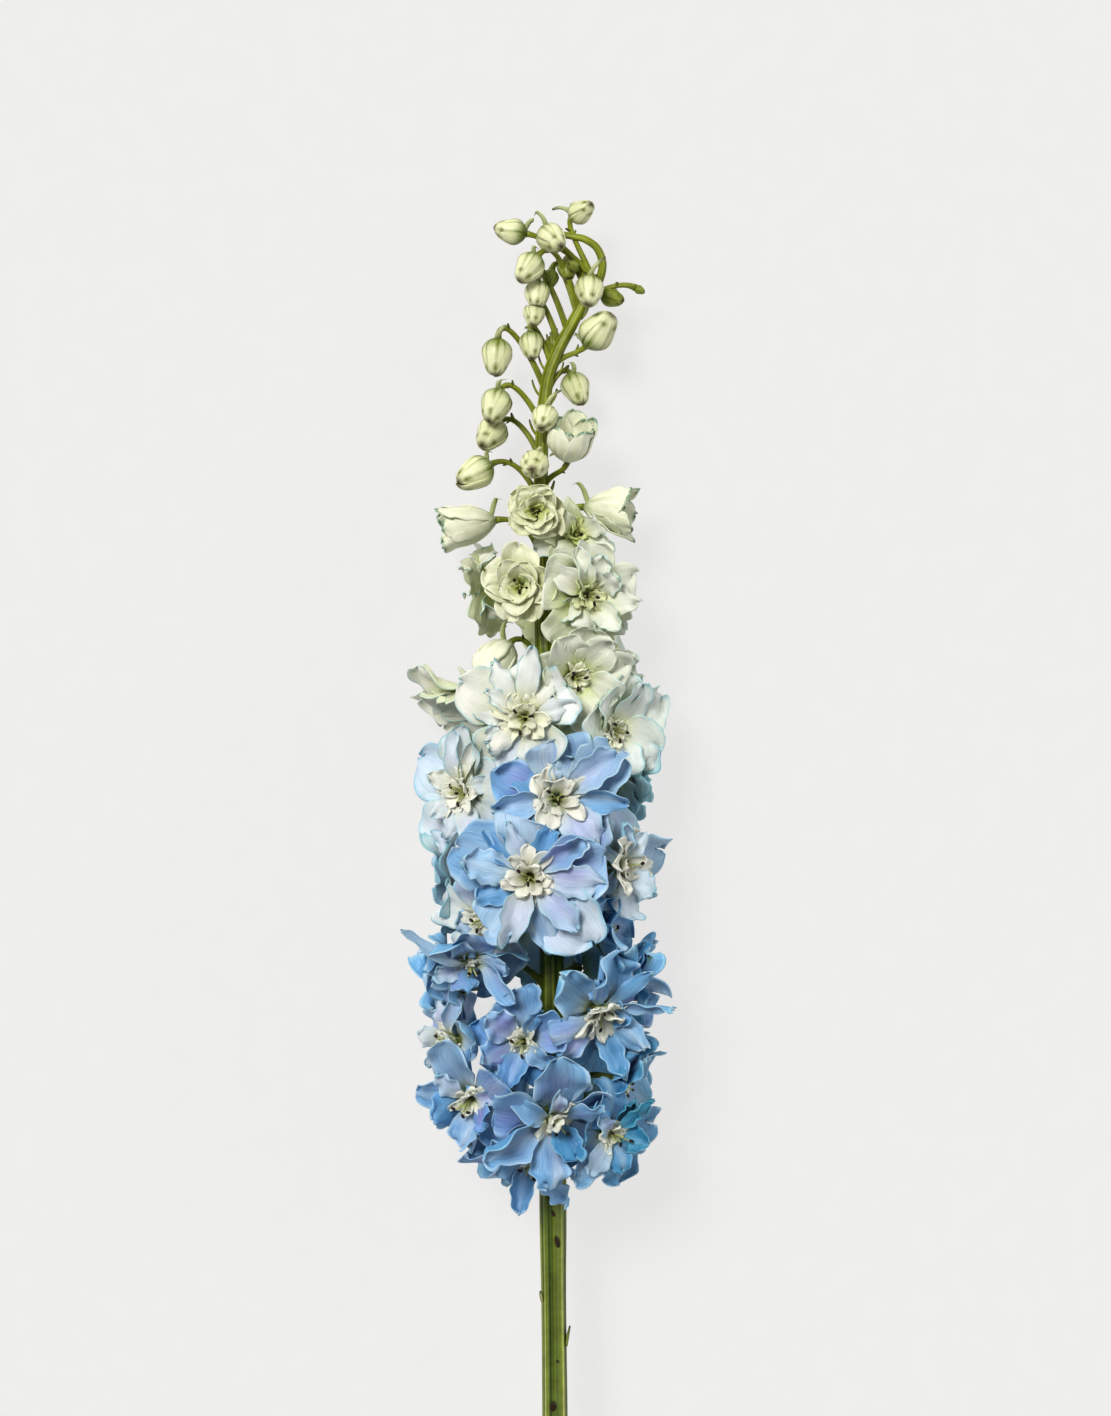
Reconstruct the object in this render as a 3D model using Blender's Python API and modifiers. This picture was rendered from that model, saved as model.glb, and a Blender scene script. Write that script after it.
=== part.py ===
"""A cut delphinium flower spike, lying on a flat surface and seen from above.

The spike runs along +Y with its tip at +Y, and +Z points up from the surface. The origin is on the
surface under the middle of the spike. One object holds the green plant: the stem, the stalk of every
blossom, the bracts and the youngest buds. Each larger bud and each floret is an object of its own, which
sits just off the end of its stalk. A floret is one body: its whorl of sepals, its spur, and its bee, the
ring of small petals that stands in the throat. The three largest florets have a bee of its own.
"""

import math
from dataclasses import dataclass

import bmesh
import bpy
import numpy as np
from mathutils import Matrix, Vector
from mathutils.bvhtree import BVHTree

MM = 0.001

# The stem's centreline, in millimetres: across, along, height above the surface, radius.
STEM_KNOTS = (
    (5.6, -241.5, 35.0, 4.5),
    (5.6, -190.0, 33.5, 4.4),
    (5.2, -145.0, 32.0, 4.3),
    (4.9, -110.0, 31.0, 4.6),
    (4.6, -60.0, 30.0, 4.2),
    (4.2, -5.0, 28.0, 4.0),
    (3.5, 37.0, 26.0, 3.8),
    (2.1, 82.0, 23.5, 3.5),
    (1.0, 114.0, 21.5, 3.0),
    (0.7, 149.0, 20.0, 2.4),
    (2.4, 175.0, 19.5, 2.2),
    (6.3, 187.5, 19.5, 2.2),
    (11.0, 196.5, 19.5, 2.1),
    (15.5, 205.0, 19.5, 1.9),
    (20.6, 212.0, 20.0, 1.6),
    (22.4, 218.5, 20.5, 1.45),
    (20.6, 224.2, 21.0, 1.35),
    (16.5, 227.4, 21.0, 1.3),
    (12.5, 228.5, 20.5, 1.2),
    (7.0, 229.6, 19.0, 1.2),
    (3.0, 230.5, 18.0, 1.1),
)
STEM_BEVEL = 2

STALK_RADIUS = 1.0 * MM
STALK_FOOT_RADIUS = 1.4 * MM
BUD_STALK_STEPS = 5
FLORET_STALK_STEPS = 3
STALK_BEVEL = 0
SEAT_GAP = 0.3 * MM
BRACT_LENGTH = 7.0 * MM

BLADE_THICKNESS = 0.66 * MM
THROAT = 0.135
CORE_RADIUS = 1.8 * MM
CLEARANCE = 0.35 * MM
ROOM_MARGIN = 0.7 * MM
ROOM_FREE_SHARE = 0.72
SURFACE_SNAP = 0.6 * MM
SEED = 20

# Colours of the finished parts, as linear red, green, blue.
STEM_GREEN = (0.17, 0.24, 0.045)
BUD_CREAM = (0.62, 0.66, 0.42)
FLORET_CREAM = (0.76, 0.79, 0.62)
FLORET_WHITE = (0.74, 0.80, 0.86)
FLORET_BLUE = (0.33, 0.49, 0.76)
BEE_IVORY = (0.80, 0.78, 0.58)


@dataclass
class Bloom:
    """One bud or floret, in millimetres and degrees.

    across, along: where its throat is, across the spike and along it. above: how far its throat is above
    the stem's centreline. size: across the open face of a floret, or the length of a bud. stage: 0 for a
    tight bud to 1 for a wide open floret. turn: which way its face looks, 0 straight up and 90 to the
    right. nod: how far the face looks down the spike, towards the cut end.
    """

    name: str
    across: float
    along: float
    above: float
    size: float
    stage: float
    turn: float
    nod: float


# Florets from the cut end to the tip, those that show from above first.
FLORETS = (
    Bloom("floret_01", -3, -94, 14, 48, 0.75, -20, 66),
    Bloom("floret_02", 24, -85, 19, 46, 0.90, 35, 16),
    Bloom("floret_03", 4, -78, 27, 56, 0.85, 22, 38),
    Bloom("floret_04", -23, -73, 17, 50, 0.85, -38, 30),
    Bloom("floret_05", 26, -68, 3, 46, 0.85, 74, 26),
    Bloom("floret_06", -29, -54, 4, 48, 0.85, -62, 10),
    Bloom("floret_07", -5, -53, 21, 44, 0.85, -20, 10),
    Bloom("floret_08", 20, -42, 22, 56, 0.85, 32, 32),
    Bloom("floret_09", -27, -37, -8, 46, 0.85, -108, 10),
    Bloom("floret_10", 27, -36, 0, 48, 0.80, 90, 14),
    Bloom("floret_11", -24, -25, 17, 50, 0.60, 18, 52),
    Bloom("floret_12", 20, -17, 12, 46, 0.85, 84, -10),
    Bloom("floret_13", -18, -11, 14, 44, 0.85, -30, 16),
    Bloom("floret_14", -27, 3, -4, 42, 0.80, -92, 8),
    Bloom("floret_15", -3, 4, 33, 58, 1.00, -4, 3),
    Bloom("floret_16", 26, 8, 18, 50, 0.90, 50, 12),
    Bloom("floret_17", 6, 31, 28, 54, 1.00, 4, 0),
    Bloom("floret_18", -25, 33, 15, 50, 0.90, -42, 2),
    Bloom("floret_19", 27, 37, -3, 44, 0.80, 96, 14),
    Bloom("floret_20", 25, 54, 13, 40, 0.70, 44, 0),
    Bloom("floret_21", -5, 59, 26, 50, 1.00, -8, 3),
    Bloom("floret_22", -22, 68, 3, 40, 0.50, -56, 56),
    Bloom("floret_23", 12, 73, 20, 40, 0.75, 20, 8),
    Bloom("floret_24", 21, 84, 3, 40, 0.65, 74, -8),
    Bloom("floret_25", -6, 105, 15, 30, 0.50, -12, 4),
    Bloom("floret_26", 16, 102, 15, 42, 0.90, 26, 10),
    Bloom("floret_27", -18, 106, -6, 40, 0.80, -106, 8),
    Bloom("floret_28", 12, 123, 6, 27, 0.65, 24, -4),
    Bloom("floret_29", -1, 131, 13, 27, 0.45, 0, 2),
    # Those on the underside are pressed against the surface, so they reach less far.
    Bloom("floret_30", -6, -84, -14, 46, 0.85, -140, 16),
    Bloom("floret_31", 14, -76, -15, 46, 0.85, 140, 12),
    Bloom("floret_32", 14, -30, -13, 48, 0.85, 136, 4),
    Bloom("floret_33", -6, -14, -14, 48, 0.85, -142, 6),
    Bloom("floret_34", 12, 18, -14, 46, 0.85, 140, 4),
    Bloom("floret_35", -7, 40, -13, 46, 0.85, -140, 4),
    Bloom("floret_36", 8, 72, -12, 42, 0.80, 150, 4),
    Bloom("floret_37", 4, 100, -11, 36, 0.75, 165, 4),
)
BUDS = (
    Bloom("bud_01", -10, 85, 4, 19, 0.30, -56, 46),
    Bloom("bud_02", -15, 128.5, -1, 19, 0.30, -80, 10),
    Bloom("bud_03", 15.5, 133, 2, 18, 0.30, 80, 6),
    Bloom("bud_04", 10, 149, 5, 17, 0.30, 14, -58),
    Bloom("bud_05", -1, 149, 9, 12, 0.00, -6, 18),
    Bloom("bud_06", -17, 148, 2, 14, 0.05, -62, 28),
    Bloom("bud_07", -14, 163, -4, 13, 0.00, -36, 40),
    Bloom("bud_08", 3, 167, 8, 11, 0.00, -14, 38),
    Bloom("bud_09", -13.5, 174, 3, 13, 0.00, -30, 56),
    Bloom("bud_10", 11, 180.5, -5, 12, 0.00, 40, 60),
    Bloom("bud_11", -14.5, 192.5, 2, 13, 0.00, -14, 74),
    Bloom("bud_12", -3, 195, 0, 10, 0.00, 8, 70),
    Bloom("bud_13", 16.5, 190, 0, 15, 0.10, 52, -42),
    Bloom("bud_14", 18, 213.5, 5, 12, 0.00, -6, 54),
    Bloom("bud_15", -0.5, 212.5, 1.5, 10.5, 0.00, -4, 62),
    Bloom("bud_16", -0.5, 221, 6, 12, 0.00, -46, 46),
    Bloom("bud_17", -4.5, 229.5, 2, 11, 0.00, -78, -8),
    Bloom("bud_18", 1.5, 230.5, 4, 12, 0.00, 36, 32),
    Bloom("bud_19", 11.5, 235, 3, 10, 0.00, 46, -24),
)
# The youngest buds, small and green, stay part of the green plant.
TIP_BUDS = (
    Bloom("tip_bud_01", -1.5, 204.5, 2, 9, 0.0, -6, 56),
    Bloom("tip_bud_02", 5, 194, -4, 8, 0.0, 20, 66),
    Bloom("tip_bud_03", 22, 208.5, -2, 8, 0.0, 74, 20),
    Bloom("tip_bud_04", 4.5, 217, -5, 7, 0.0, -20, 60),
    Bloom("tip_bud_05", 9.5, 220, -4, 8, 0.0, 10, 50),
    Bloom("tip_bud_06", 13, 217.5, 0, 5, 0.0, -30, -10),
    Bloom("tip_bud_07", 34, 210.5, 1, 3.5, 0.0, 74, 30),
)
DOUBLE = ("floret_15", "floret_17", "floret_21")


STEM_LINE = np.array(STEM_KNOTS) * MM


def stem_at(along):
    """The stem's centre and radius at this place along the spike, in metres."""
    rising = STEM_LINE[: int(np.argmax(STEM_LINE[:, 1])) + 1]
    across, height, radius = (np.interp(along, rising[:, 1], rising[:, column]) for column in (0, 2, 3))
    return np.array([across, along, height]), float(radius)


def is_bud(bloom):
    return bloom.stage < 0.4


def throat_of(bloom):
    """Where the bloom's stalk ends, which is also where its sepals spring from."""
    centre, _ = stem_at(bloom.along * MM)
    return np.array([bloom.across * MM, bloom.along * MM, centre[2] + bloom.above * MM])


def axes_of(bloom):
    """The bloom's own axes as columns: sideways, towards the tip of the spike, and out of its face."""
    turn, nod = math.radians(bloom.turn), math.radians(bloom.nod)
    face = np.array([math.sin(turn) * math.cos(nod), -math.sin(nod), math.cos(turn) * math.cos(nod)])
    upward = np.array([0.0, 1.0, 0.0]) - face[1] * face
    upward /= np.linalg.norm(upward)
    return np.column_stack([np.cross(upward, face), upward, face])


def centre_of(bloom):
    """The middle of the room that the bloom fills."""
    depth = 0.5 if is_bud(bloom) else 0.14
    return throat_of(bloom) + depth * bloom.size * MM * axes_of(bloom)[:, 2]


def spread_of(bloom):
    """How far the bloom pushes its neighbours away."""
    return (0.55 if is_bud(bloom) else 0.3) * bloom.size * MM


@dataclass
class Room:
    """The space that a bloom may fill: a centre, and flat walls round it, each a normal and a distance."""

    centre: np.ndarray
    normals: np.ndarray
    distances: np.ndarray


def room_of(bloom, others):
    """Walls halfway to each neighbour, shifted towards the smaller one, with the stem and the surface."""
    centre = centre_of(bloom)
    normals, distances = [], []
    for other in others:
        towards = centre_of(other) - centre
        span = np.linalg.norm(towards)
        normals.append(towards / span)
        share = (span**2 + spread_of(bloom) ** 2 - spread_of(other) ** 2) / (2 * span)
        distances.append(share - ROOM_MARGIN)
    axis, radius = stem_at(centre[1])
    inwards = (axis - centre) * [1, 0, 1]
    normals.append(inwards / np.linalg.norm(inwards))
    distances.append(max(np.linalg.norm(inwards) - radius - 0.5 * MM, 2.5 * MM))
    normals.append(np.array([0.0, 0.0, -1.0]))
    distances.append(centre[2] - 0.5 * BLADE_THICKNESS)
    return Room(centre, np.array(normals), np.array(distances))


def settle(points, room):
    """Squeezes points towards the room's centre, more the nearer they are to a wall, so all stay inside."""
    offset = points - room.centre
    distance = np.maximum(np.linalg.norm(offset, axis=1), 1e-9)
    direction = offset / distance[:, None]
    towards = direction @ room.normals.T
    limit = (room.distances / np.maximum(towards, 1e-3)).min(axis=1)
    share = distance / limit
    rest = 1 - ROOM_FREE_SHARE
    squeezed = ROOM_FREE_SHARE + rest * np.tanh((share - ROOM_FREE_SHARE) / rest)
    share = np.where(share < ROOM_FREE_SHARE, share, squeezed)
    return room.centre + direction * (limit * share)[:, None]


@dataclass
class Whorl:
    """A ring of petals that are joined in the throat: lengths in metres, angles in radians from the axis."""

    count: int
    start: float
    throat: float
    length: float
    width: float
    angle_at_root: float
    angle_at_tip: float
    wrap: float
    cup: float
    twist: float
    wave: float


def blend(closed, opened, stage):
    return closed + (opened - closed) * stage


def petal_points(whorl, number, draw, u, v):
    """Points of a petal's middle surface in the bloom's axes, v from edge to edge.

    From u = -1 to 0 all petals share the throat, a cone from the axis out to the throat's radius. From u = 0
    to 1 the midrib leans away from the axis by an angle that changes evenly, so it is an arc. Across it the
    petal first spans its share of the ring, then eases to its own outline, wraps round the whorl's axis, is
    cupped, leans to one side and waves at its edges.
    """
    longer, wider, turned, opener, phase = draw
    own = 1 - (1 - np.clip(u, 0, 1)) ** 2.5
    along = np.clip(u, 0, 1)
    change = whorl.angle_at_tip - whorl.angle_at_root + 0.2 * opener
    change = math.copysign(max(abs(change), 1e-3), change)
    angle = whorl.angle_at_root + change * along
    length = whorl.length * (1 + 0.09 * longer)
    outwards = whorl.throat + length * (math.cos(whorl.angle_at_root) - np.cos(angle)) / change
    forwards = length * (np.sin(angle) - math.sin(whorl.angle_at_root)) / change
    share = np.clip(1 + u, 0, 1)
    outwards = np.where(u < 0, whorl.throat * share, outwards)
    forwards += whorl.throat / math.tan(whorl.angle_at_root) * share + whorl.start
    sector = math.pi / whorl.count
    outline = np.sqrt(np.clip(1 - (np.clip(along - 0.42, 0, 1) / 0.58) ** 2.2, 0, 1))
    half = 0.5 * whorl.width * (1 + 0.1 * wider) * outline
    side = v * np.minimum(half, 0.9 * outwards * math.tan(sector))
    aside = v * sector * (1 - own) + own * (whorl.wrap * side / np.maximum(outwards, 1e-6) + 0.05 * turned)
    round_axis = math.pi / 2 + 2 * sector * number + aside
    flat = own * (1 - whorl.wrap) * side
    lift = whorl.cup * np.abs(side) * np.abs(v) + whorl.twist * side
    lift += whorl.wave * outline * along * np.abs(v) ** 1.5 * np.sin(7.0 * u + 2.0 * v + math.pi * phase)
    lift *= own
    cosine, sine = np.cos(round_axis), np.sin(round_axis)
    radial = outwards - lift * np.cos(angle)
    return np.column_stack(
        [radial * cosine - flat * sine, radial * sine + flat * cosine, forwards + lift * np.sin(angle)]
    )


def sepal_whorl(bloom, shorter=1.0, closer=0.0, start=0.0):
    """The whorl of five sepals. shorter, closer and start give the inner whorl of a double floret."""
    size, stage = bloom.size * MM, bloom.stage
    throat = THROAT * size * shorter
    return Whorl(
        count=5,
        start=start,
        throat=throat,
        length=size * (blend(0.56, 0.37, stage)) * shorter,
        width=size * blend(0.30, 0.42, stage) * shorter,
        angle_at_root=math.radians(blend(54, 62, stage) - closer),
        angle_at_tip=math.radians(blend(-30, 94, stage) - closer),
        wrap=blend(0.9, 0.15, stage),
        cup=blend(0.05, 0.16, stage),
        twist=0.12,
        wave=1.0 * MM * stage,
    )


def link(obj, collection):
    collection.objects.link(obj)
    return obj


def whorl_mesh(whorl, rows, place, draw):
    """The petals' middle surface: a grid for each petal, bent to its surface and welded to its neighbours.

    Also gives the points before they were put in their place. The first rows of the grid are the axis and
    two rings in the throat, for the bee.
    """
    places = np.concatenate([[-1, -0.75, -0.4], np.sin(0.5 * np.pi * np.arange(rows + 1) / rows)])
    work = bmesh.new()
    for number in range(whorl.count):
        grid = bmesh.ops.create_grid(work, x_segments=2, y_segments=len(places) - 1, size=1)["verts"]
        flat = np.array([vertex.co for vertex in grid])
        u = places[np.round((flat[:, 1] + 1) / 2 * (len(places) - 1)).astype(int)]
        shape = petal_points(whorl, number, draw.uniform(-1, 1, 5), u, flat[:, 0])
        for vertex, where in zip(grid, shape):
            vertex.co = where
    bmesh.ops.remove_doubles(work, verts=work.verts, dist=0.03 * MM)
    bmesh.ops.triangulate(work, faces=work.faces)
    bmesh.ops.recalc_face_normals(work, faces=work.faces)
    local = np.array([vertex.co for vertex in work.verts])
    for vertex, where in zip(work.verts, place(local)):
        vertex.co = where
    mesh = bpy.data.meshes.new("whorl")
    work.to_mesh(mesh)
    work.free()
    return mesh, local


def raise_bee(whorl, size, local):
    """Lifts the two innermost rings into the bee: a hollow inside a rim of five points."""
    radius, around = np.hypot(local[:, 0], local[:, 1]), np.arctan2(local[:, 1], local[:, 0])
    point = 0.5 + 0.5 * np.cos(whorl.count * (around - 0.5 * math.pi))
    rim = radius > 0.1 * whorl.throat
    reach = np.where(rim, size * (0.11 + 0.07 * point), 0)
    height = np.where(rim, size * (0.14 + 0.05 * point), 0.07 * size)
    return np.column_stack([reach * np.cos(around), reach * np.sin(around), height])


def whorl_body(name, whorl, rows, place, draw, collection, bee=0.0):
    """The petals as one thin solid, and in their throat the bee, if it has a size."""
    mesh, local = whorl_mesh(whorl, rows, place, draw)
    obj = link(bpy.data.objects.new(name, mesh), collection)
    solidify = obj.modifiers.new("thickness", "SOLIDIFY")
    solidify.thickness = BLADE_THICKNESS
    solidify.offset = 0
    mesh = evaluated_mesh(obj)
    obj.modifiers.clear()
    obj.data = mesh

    # Solidify lists one face's points first and then the other's, in the same order.
    points = np.array([vertex.co for vertex in mesh.vertices])
    sides = [points[: len(local)], points[len(local) :]]
    radius = np.hypot(local[:, 0], local[:, 1])
    axis = int(np.argmin(radius))
    outwards = place(np.array([[0, 0, 1 * MM]]))[0] - place(np.array([[0, 0, 0]]))[0]
    front, back = sorted(sides, key=lambda side: -float(side[axis] @ outwards))
    back[radius < 0.8 * whorl.throat] = back[axis]
    inner = radius < 0.5 * whorl.throat
    if bee:
        front[inner] = place(raise_bee(whorl, bee, local[inner]))
    else:
        front[radius < 0.8 * whorl.throat] = front[axis]
    mesh.vertices.foreach_set("co", points.ravel())
    obj.data = welded(mesh)
    return obj


def bee_body(name, bloom, foot, place, collection):
    """A bee that is a body of its own, just clear of the throat below it.

    A sphere's lower ring becomes its waist, its upper ring the rim with a point on every second segment,
    and its upper pole the bottom of the hollow.
    """
    size = bloom.size * MM
    ball = bmesh.new()
    bmesh.ops.create_uvsphere(ball, u_segments=12, v_segments=3, radius=1)
    unit = np.array([vertex.co for vertex in ball.verts])
    around = np.arctan2(unit[:, 1], unit[:, 0])
    level = np.round(3 * np.arccos(np.clip(-unit[:, 2], -1, 1)) / np.pi).astype(int)
    point = 0.5 + 0.5 * np.cos(6 * around)
    none = np.zeros_like(point)
    radius = np.choose(level, [none, none + CORE_RADIUS, size * (0.12 + 0.07 * point), none])
    waist, bottom = none + 0.8 * CORE_RADIUS, none + 0.07 * size
    height = np.choose(level, [none, waist, size * (0.14 + 0.04 * point), bottom])
    points = np.column_stack([radius * np.cos(around), radius * np.sin(around), foot + height])
    for vertex, where in zip(ball.verts, place(points)):
        vertex.co = where
    mesh = bpy.data.meshes.new(name)
    ball.to_mesh(mesh)
    ball.free()
    return link(bpy.data.objects.new(name, mesh), collection)


def tube(name, points, radii, bevel_resolution, collection):
    """A round bar along the points as a curve with a bevel, made a closed mesh."""
    curve = bpy.data.curves.new(name, "CURVE")
    curve.dimensions = "3D"
    curve.bevel_depth = MM
    curve.bevel_resolution = bevel_resolution
    curve.use_fill_caps = True
    spline = curve.splines.new("POLY")
    spline.points.add(len(points) - 1)
    for point, where, radius in zip(spline.points, points, radii):
        point.co = (*where, 1)
        point.radius = radius / MM
    guide = link(bpy.data.objects.new(name + "_line", curve), collection)
    mesh = evaluated_mesh(guide)
    bpy.data.objects.remove(guide)
    return link(bpy.data.objects.new(name, welded(mesh)), collection)


def evaluated_mesh(obj):
    """The object's mesh with its modifiers applied."""
    graph = bpy.context.evaluated_depsgraph_get()
    return bpy.data.meshes.new_from_object(obj.evaluated_get(graph), depsgraph=graph)


def welded(mesh):
    work = bmesh.new()
    work.from_mesh(mesh)
    bmesh.ops.remove_doubles(work, verts=work.verts, dist=0.01 * MM)
    bmesh.ops.recalc_face_normals(work, faces=work.faces)
    work.to_mesh(mesh)
    work.free()
    return mesh


def is_closed(mesh):
    work = bmesh.new()
    work.from_mesh(mesh)
    closed = all(edge.is_manifold for edge in work.edges)
    work.free()
    return closed


def boolean(obj, operation, collection):
    """Joins the collection's objects to this one, or cuts them from it, and removes them."""
    modifier = obj.modifiers.new(operation.lower(), "BOOLEAN")
    modifier.operation = operation
    modifier.operand_type = "COLLECTION"
    modifier.collection = collection
    for solver in ("EXACT", "MANIFOLD"):
        modifier.solver = solver
        mesh = evaluated_mesh(obj)
        if is_closed(mesh):
            break
    obj.modifiers.clear()
    obj.data = mesh
    for tool in list(collection.objects):
        bpy.data.objects.remove(tool)
    bpy.data.collections.remove(collection)


def hidden_collection(name):
    """A collection for the pieces that a Boolean joins or cuts."""
    collection = bpy.data.collections.new(name)
    collection.hide_render = True
    bpy.context.scene.collection.children.link(collection)
    return collection


def curve_between(start, leave, arrive, end, steps):
    """Points on a cubic Bezier curve."""
    share = np.linspace(0, 1, steps + 1)[:, None]
    rest = 1 - share
    return (
        rest**3 * start + 3 * rest**2 * share * leave + 3 * rest * share**2 * arrive + share**3 * end
    )


def stalk_line(bloom):
    """The stalk's path: it leaves the stem at a narrow angle, bends out, and meets the bloom's back."""
    throat, face = throat_of(bloom), axes_of(bloom)[:, 2]
    beside, _ = stem_at(throat[1])
    reach = np.linalg.norm(throat - beside)
    drop = 0.6 * reach + 5 * MM if is_bud(bloom) else 0.35 * reach + 2.5 * MM
    foot, _ = stem_at(min(throat[1] - drop, 211 * MM))
    outwards = (throat - foot) * [1, 0, 1]
    outwards /= np.linalg.norm(outwards)
    back = 0.2 * MM if is_bud(bloom) else 0.45 * MM
    end = throat - (back + SEAT_GAP) * face
    leave = foot + 0.2 * reach * outwards + [0, 0.75 * drop, 0]
    arrive = end - (0.45 * reach + 1.5 * MM) * face
    steps = BUD_STALK_STEPS if is_bud(bloom) else FLORET_STALK_STEPS
    return curve_between(foot, leave, arrive, end, steps)


def stalk(name, bloom, extra, collection):
    """The stalk as a tapered bar. extra makes it thicker, for a cutter that leaves a clear gap round it."""
    points = stalk_line(bloom)
    share = np.linspace(0, 1, len(points))
    scale = 0.8 if is_bud(bloom) else 1.0
    radii = blend(STALK_FOOT_RADIUS, STALK_RADIUS, share) * scale + extra
    if extra:
        points[-1] += (points[-1] - points[-2]) / np.linalg.norm(points[-1] - points[-2]) * 0.6 * SEAT_GAP
    return tube(name, points, radii, STALK_BEVEL, collection)


def bract(name, bloom, extra, collection):
    """The slim leaf at the stalk's foot, as a three-sided spike. extra makes it thicker for a cutter."""
    line = stalk_line(bloom)
    foot, ahead = Vector(line[1]), Vector(line[2])
    direction = (ahead - foot).normalized()
    aside = direction.cross(Vector((0, 0, 1))).normalized()
    direction = (direction + 0.7 * aside * (1 if bloom.across > 0 else -1)).normalized()
    spike = bmesh.new()
    bmesh.ops.create_cone(
        spike,
        cap_ends=True,
        segments=3,
        radius1=1.0 * MM + 2 * extra,
        radius2=0.2 * MM + 2 * extra,
        depth=BRACT_LENGTH + 2 * extra,
    )
    place = Matrix.Translation(foot + 0.42 * BRACT_LENGTH * direction)
    bmesh.ops.transform(
        spike, matrix=place @ direction.to_track_quat("Z", "Y").to_matrix().to_4x4(), verts=spike.verts
    )
    mesh = bpy.data.meshes.new(name)
    spike.to_mesh(mesh)
    spike.free()
    return link(bpy.data.objects.new(name, mesh), collection)


def bud_body(name, bloom, extra, place, collection):
    """A bud: an egg with five soft ribs, where its folded sepals meet.

    A tight bud ends in a blunt point. One that is opening ends in a frilled rim round a shallow hollow.
    """
    length = bloom.size * MM
    ball = bmesh.new()
    young = bloom in TIP_BUDS
    bmesh.ops.create_uvsphere(ball, u_segments=6 if young else 10, v_segments=4 if young else 5, radius=1)
    unit = np.array([vertex.co for vertex in ball.verts])
    around = np.arctan2(unit[:, 1], unit[:, 0])
    share = 0.5 * (1 + unit[:, 2])
    profile = np.hypot(unit[:, 0], unit[:, 1]) * (1 + 0.1 * np.sin(2 * np.pi * share))
    height = length * share
    if bloom.stage > 0.2:
        rim = (share > 0.8) & (share < 0.95)
        profile = np.where(rim, 0.86 + 0.08 * np.cos(5 * around), profile)
        height = np.where(rim, length * (0.96 + 0.04 * np.cos(5 * around)), height)
        height = np.where(share > 0.95, 0.82 * length, height)
    height += extra * unit[:, 2]
    radius = length * blend(0.42, 0.45, bloom.stage) * profile * (1 + 0.06 * np.cos(5 * around))
    radius += extra * np.hypot(unit[:, 0], unit[:, 1])
    points = np.column_stack([radius * np.cos(around), radius * np.sin(around), height])
    for vertex, where in zip(ball.verts, place(points)):
        vertex.co = where
    mesh = bpy.data.meshes.new(name)
    ball.to_mesh(mesh)
    ball.free()
    return link(bpy.data.objects.new(name, mesh), collection)


def branch(bloom, extra, room, collection):
    """What the bloom has on the green plant: its stalk, a bud's bract, and the youngest buds themselves."""
    stalk(bloom.name + "_stalk", bloom, extra, collection)
    if is_bud(bloom):
        bract(bloom.name + "_bract", bloom, extra, collection)
    if bloom in TIP_BUDS:
        place = placer(bloom, room)
        bud_body(bloom.name, bloom, extra, lambda points: place(points - [0, 0, 1.0 * MM]), collection)


def spur_body(name, bloom, place, collection):
    """The spur: a horn from the throat back behind the upper sepal, bent towards the tip of the spike."""
    size = (1.1 if is_bud(bloom) else 1.0) * bloom.size * MM
    start = size * (np.array([0, 0.13, 0.1]) if is_bud(bloom) else np.array([0, 0.055, 0.04]))
    path = curve_between(
        start,
        start + size * np.array([0, 0.02, -0.08]),
        start + size * np.array([0, 0.2, -0.06]),
        start + size * np.array([0, 0.34, -0.24]),
        2 if is_bud(bloom) else 3,
    )
    radii = CORE_RADIUS * np.interp(np.linspace(0, 1, len(path)), [0, 0.4, 1], [0.6, 1.1, 0.55])
    return tube(name, place(path), radii * (0.65 if is_bud(bloom) else 1.0), 0, collection)


def placer(bloom, room):
    """Takes points from the bloom's axes to their place in the spike."""
    throat, axes = throat_of(bloom), axes_of(bloom)
    return lambda points: settle(throat + points @ axes.T, room)


def largest_island(mesh):
    """Drops loose scraps that a cut has left."""
    work = bmesh.new()
    work.from_mesh(mesh)
    waiting, islands = set(work.verts), []
    while waiting:
        island, edge = set(), [waiting.pop()]
        while edge:
            vertex = edge.pop()
            island.add(vertex)
            for link_edge in vertex.link_edges:
                other = link_edge.other_vert(vertex)
                if other in waiting:
                    waiting.discard(other)
                    edge.append(other)
        islands.append(island)
    keep = max(islands, key=len)
    bmesh.ops.delete(work, geom=[vertex for vertex in work.verts if vertex not in keep], context="VERTS")
    work.to_mesh(mesh)
    work.free()


def tree_of(obj):
    work = bmesh.new()
    work.from_mesh(obj.data)
    tree = BVHTree.FromBMesh(work)
    work.free()
    return tree


def clear_of(obj, tools):
    """Cuts from the object the tools that it meets, and drops the scraps."""
    own = tree_of(obj)
    met = [tool for tool in tools if own.overlap(tree_of(tool))]
    if not met:
        return
    cutters = hidden_collection(obj.name + "_cutters")
    for tool in met:
        link(bpy.data.objects.new(tool.name + "_copy", tool.data), cutters)
    boolean(obj, "DIFFERENCE", cutters)
    largest_island(obj.data)


def rest_on_surface(obj):
    """Flattens what lies on the surface, so that nothing reaches below it."""
    for vertex in obj.data.vertices:
        if vertex.co.z < SURFACE_SNAP:
            vertex.co.z = 0.0


def finish(obj, material):
    rest_on_surface(obj)
    obj.data.materials.clear()
    obj.data.materials.append(material)
    obj.data.shade_smooth()
    obj.data.set_sharp_from_angle(angle=math.radians(50))


def new_material(name, colour, roughness):
    material = bpy.data.materials.new(name)
    material.use_nodes = True
    shader = material.node_tree.nodes["Principled BSDF"]
    shader.inputs["Base Color"].default_value = (*colour, 1)
    shader.inputs["Roughness"].default_value = roughness
    shader.inputs["Metallic"].default_value = 0.0
    return material


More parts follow.
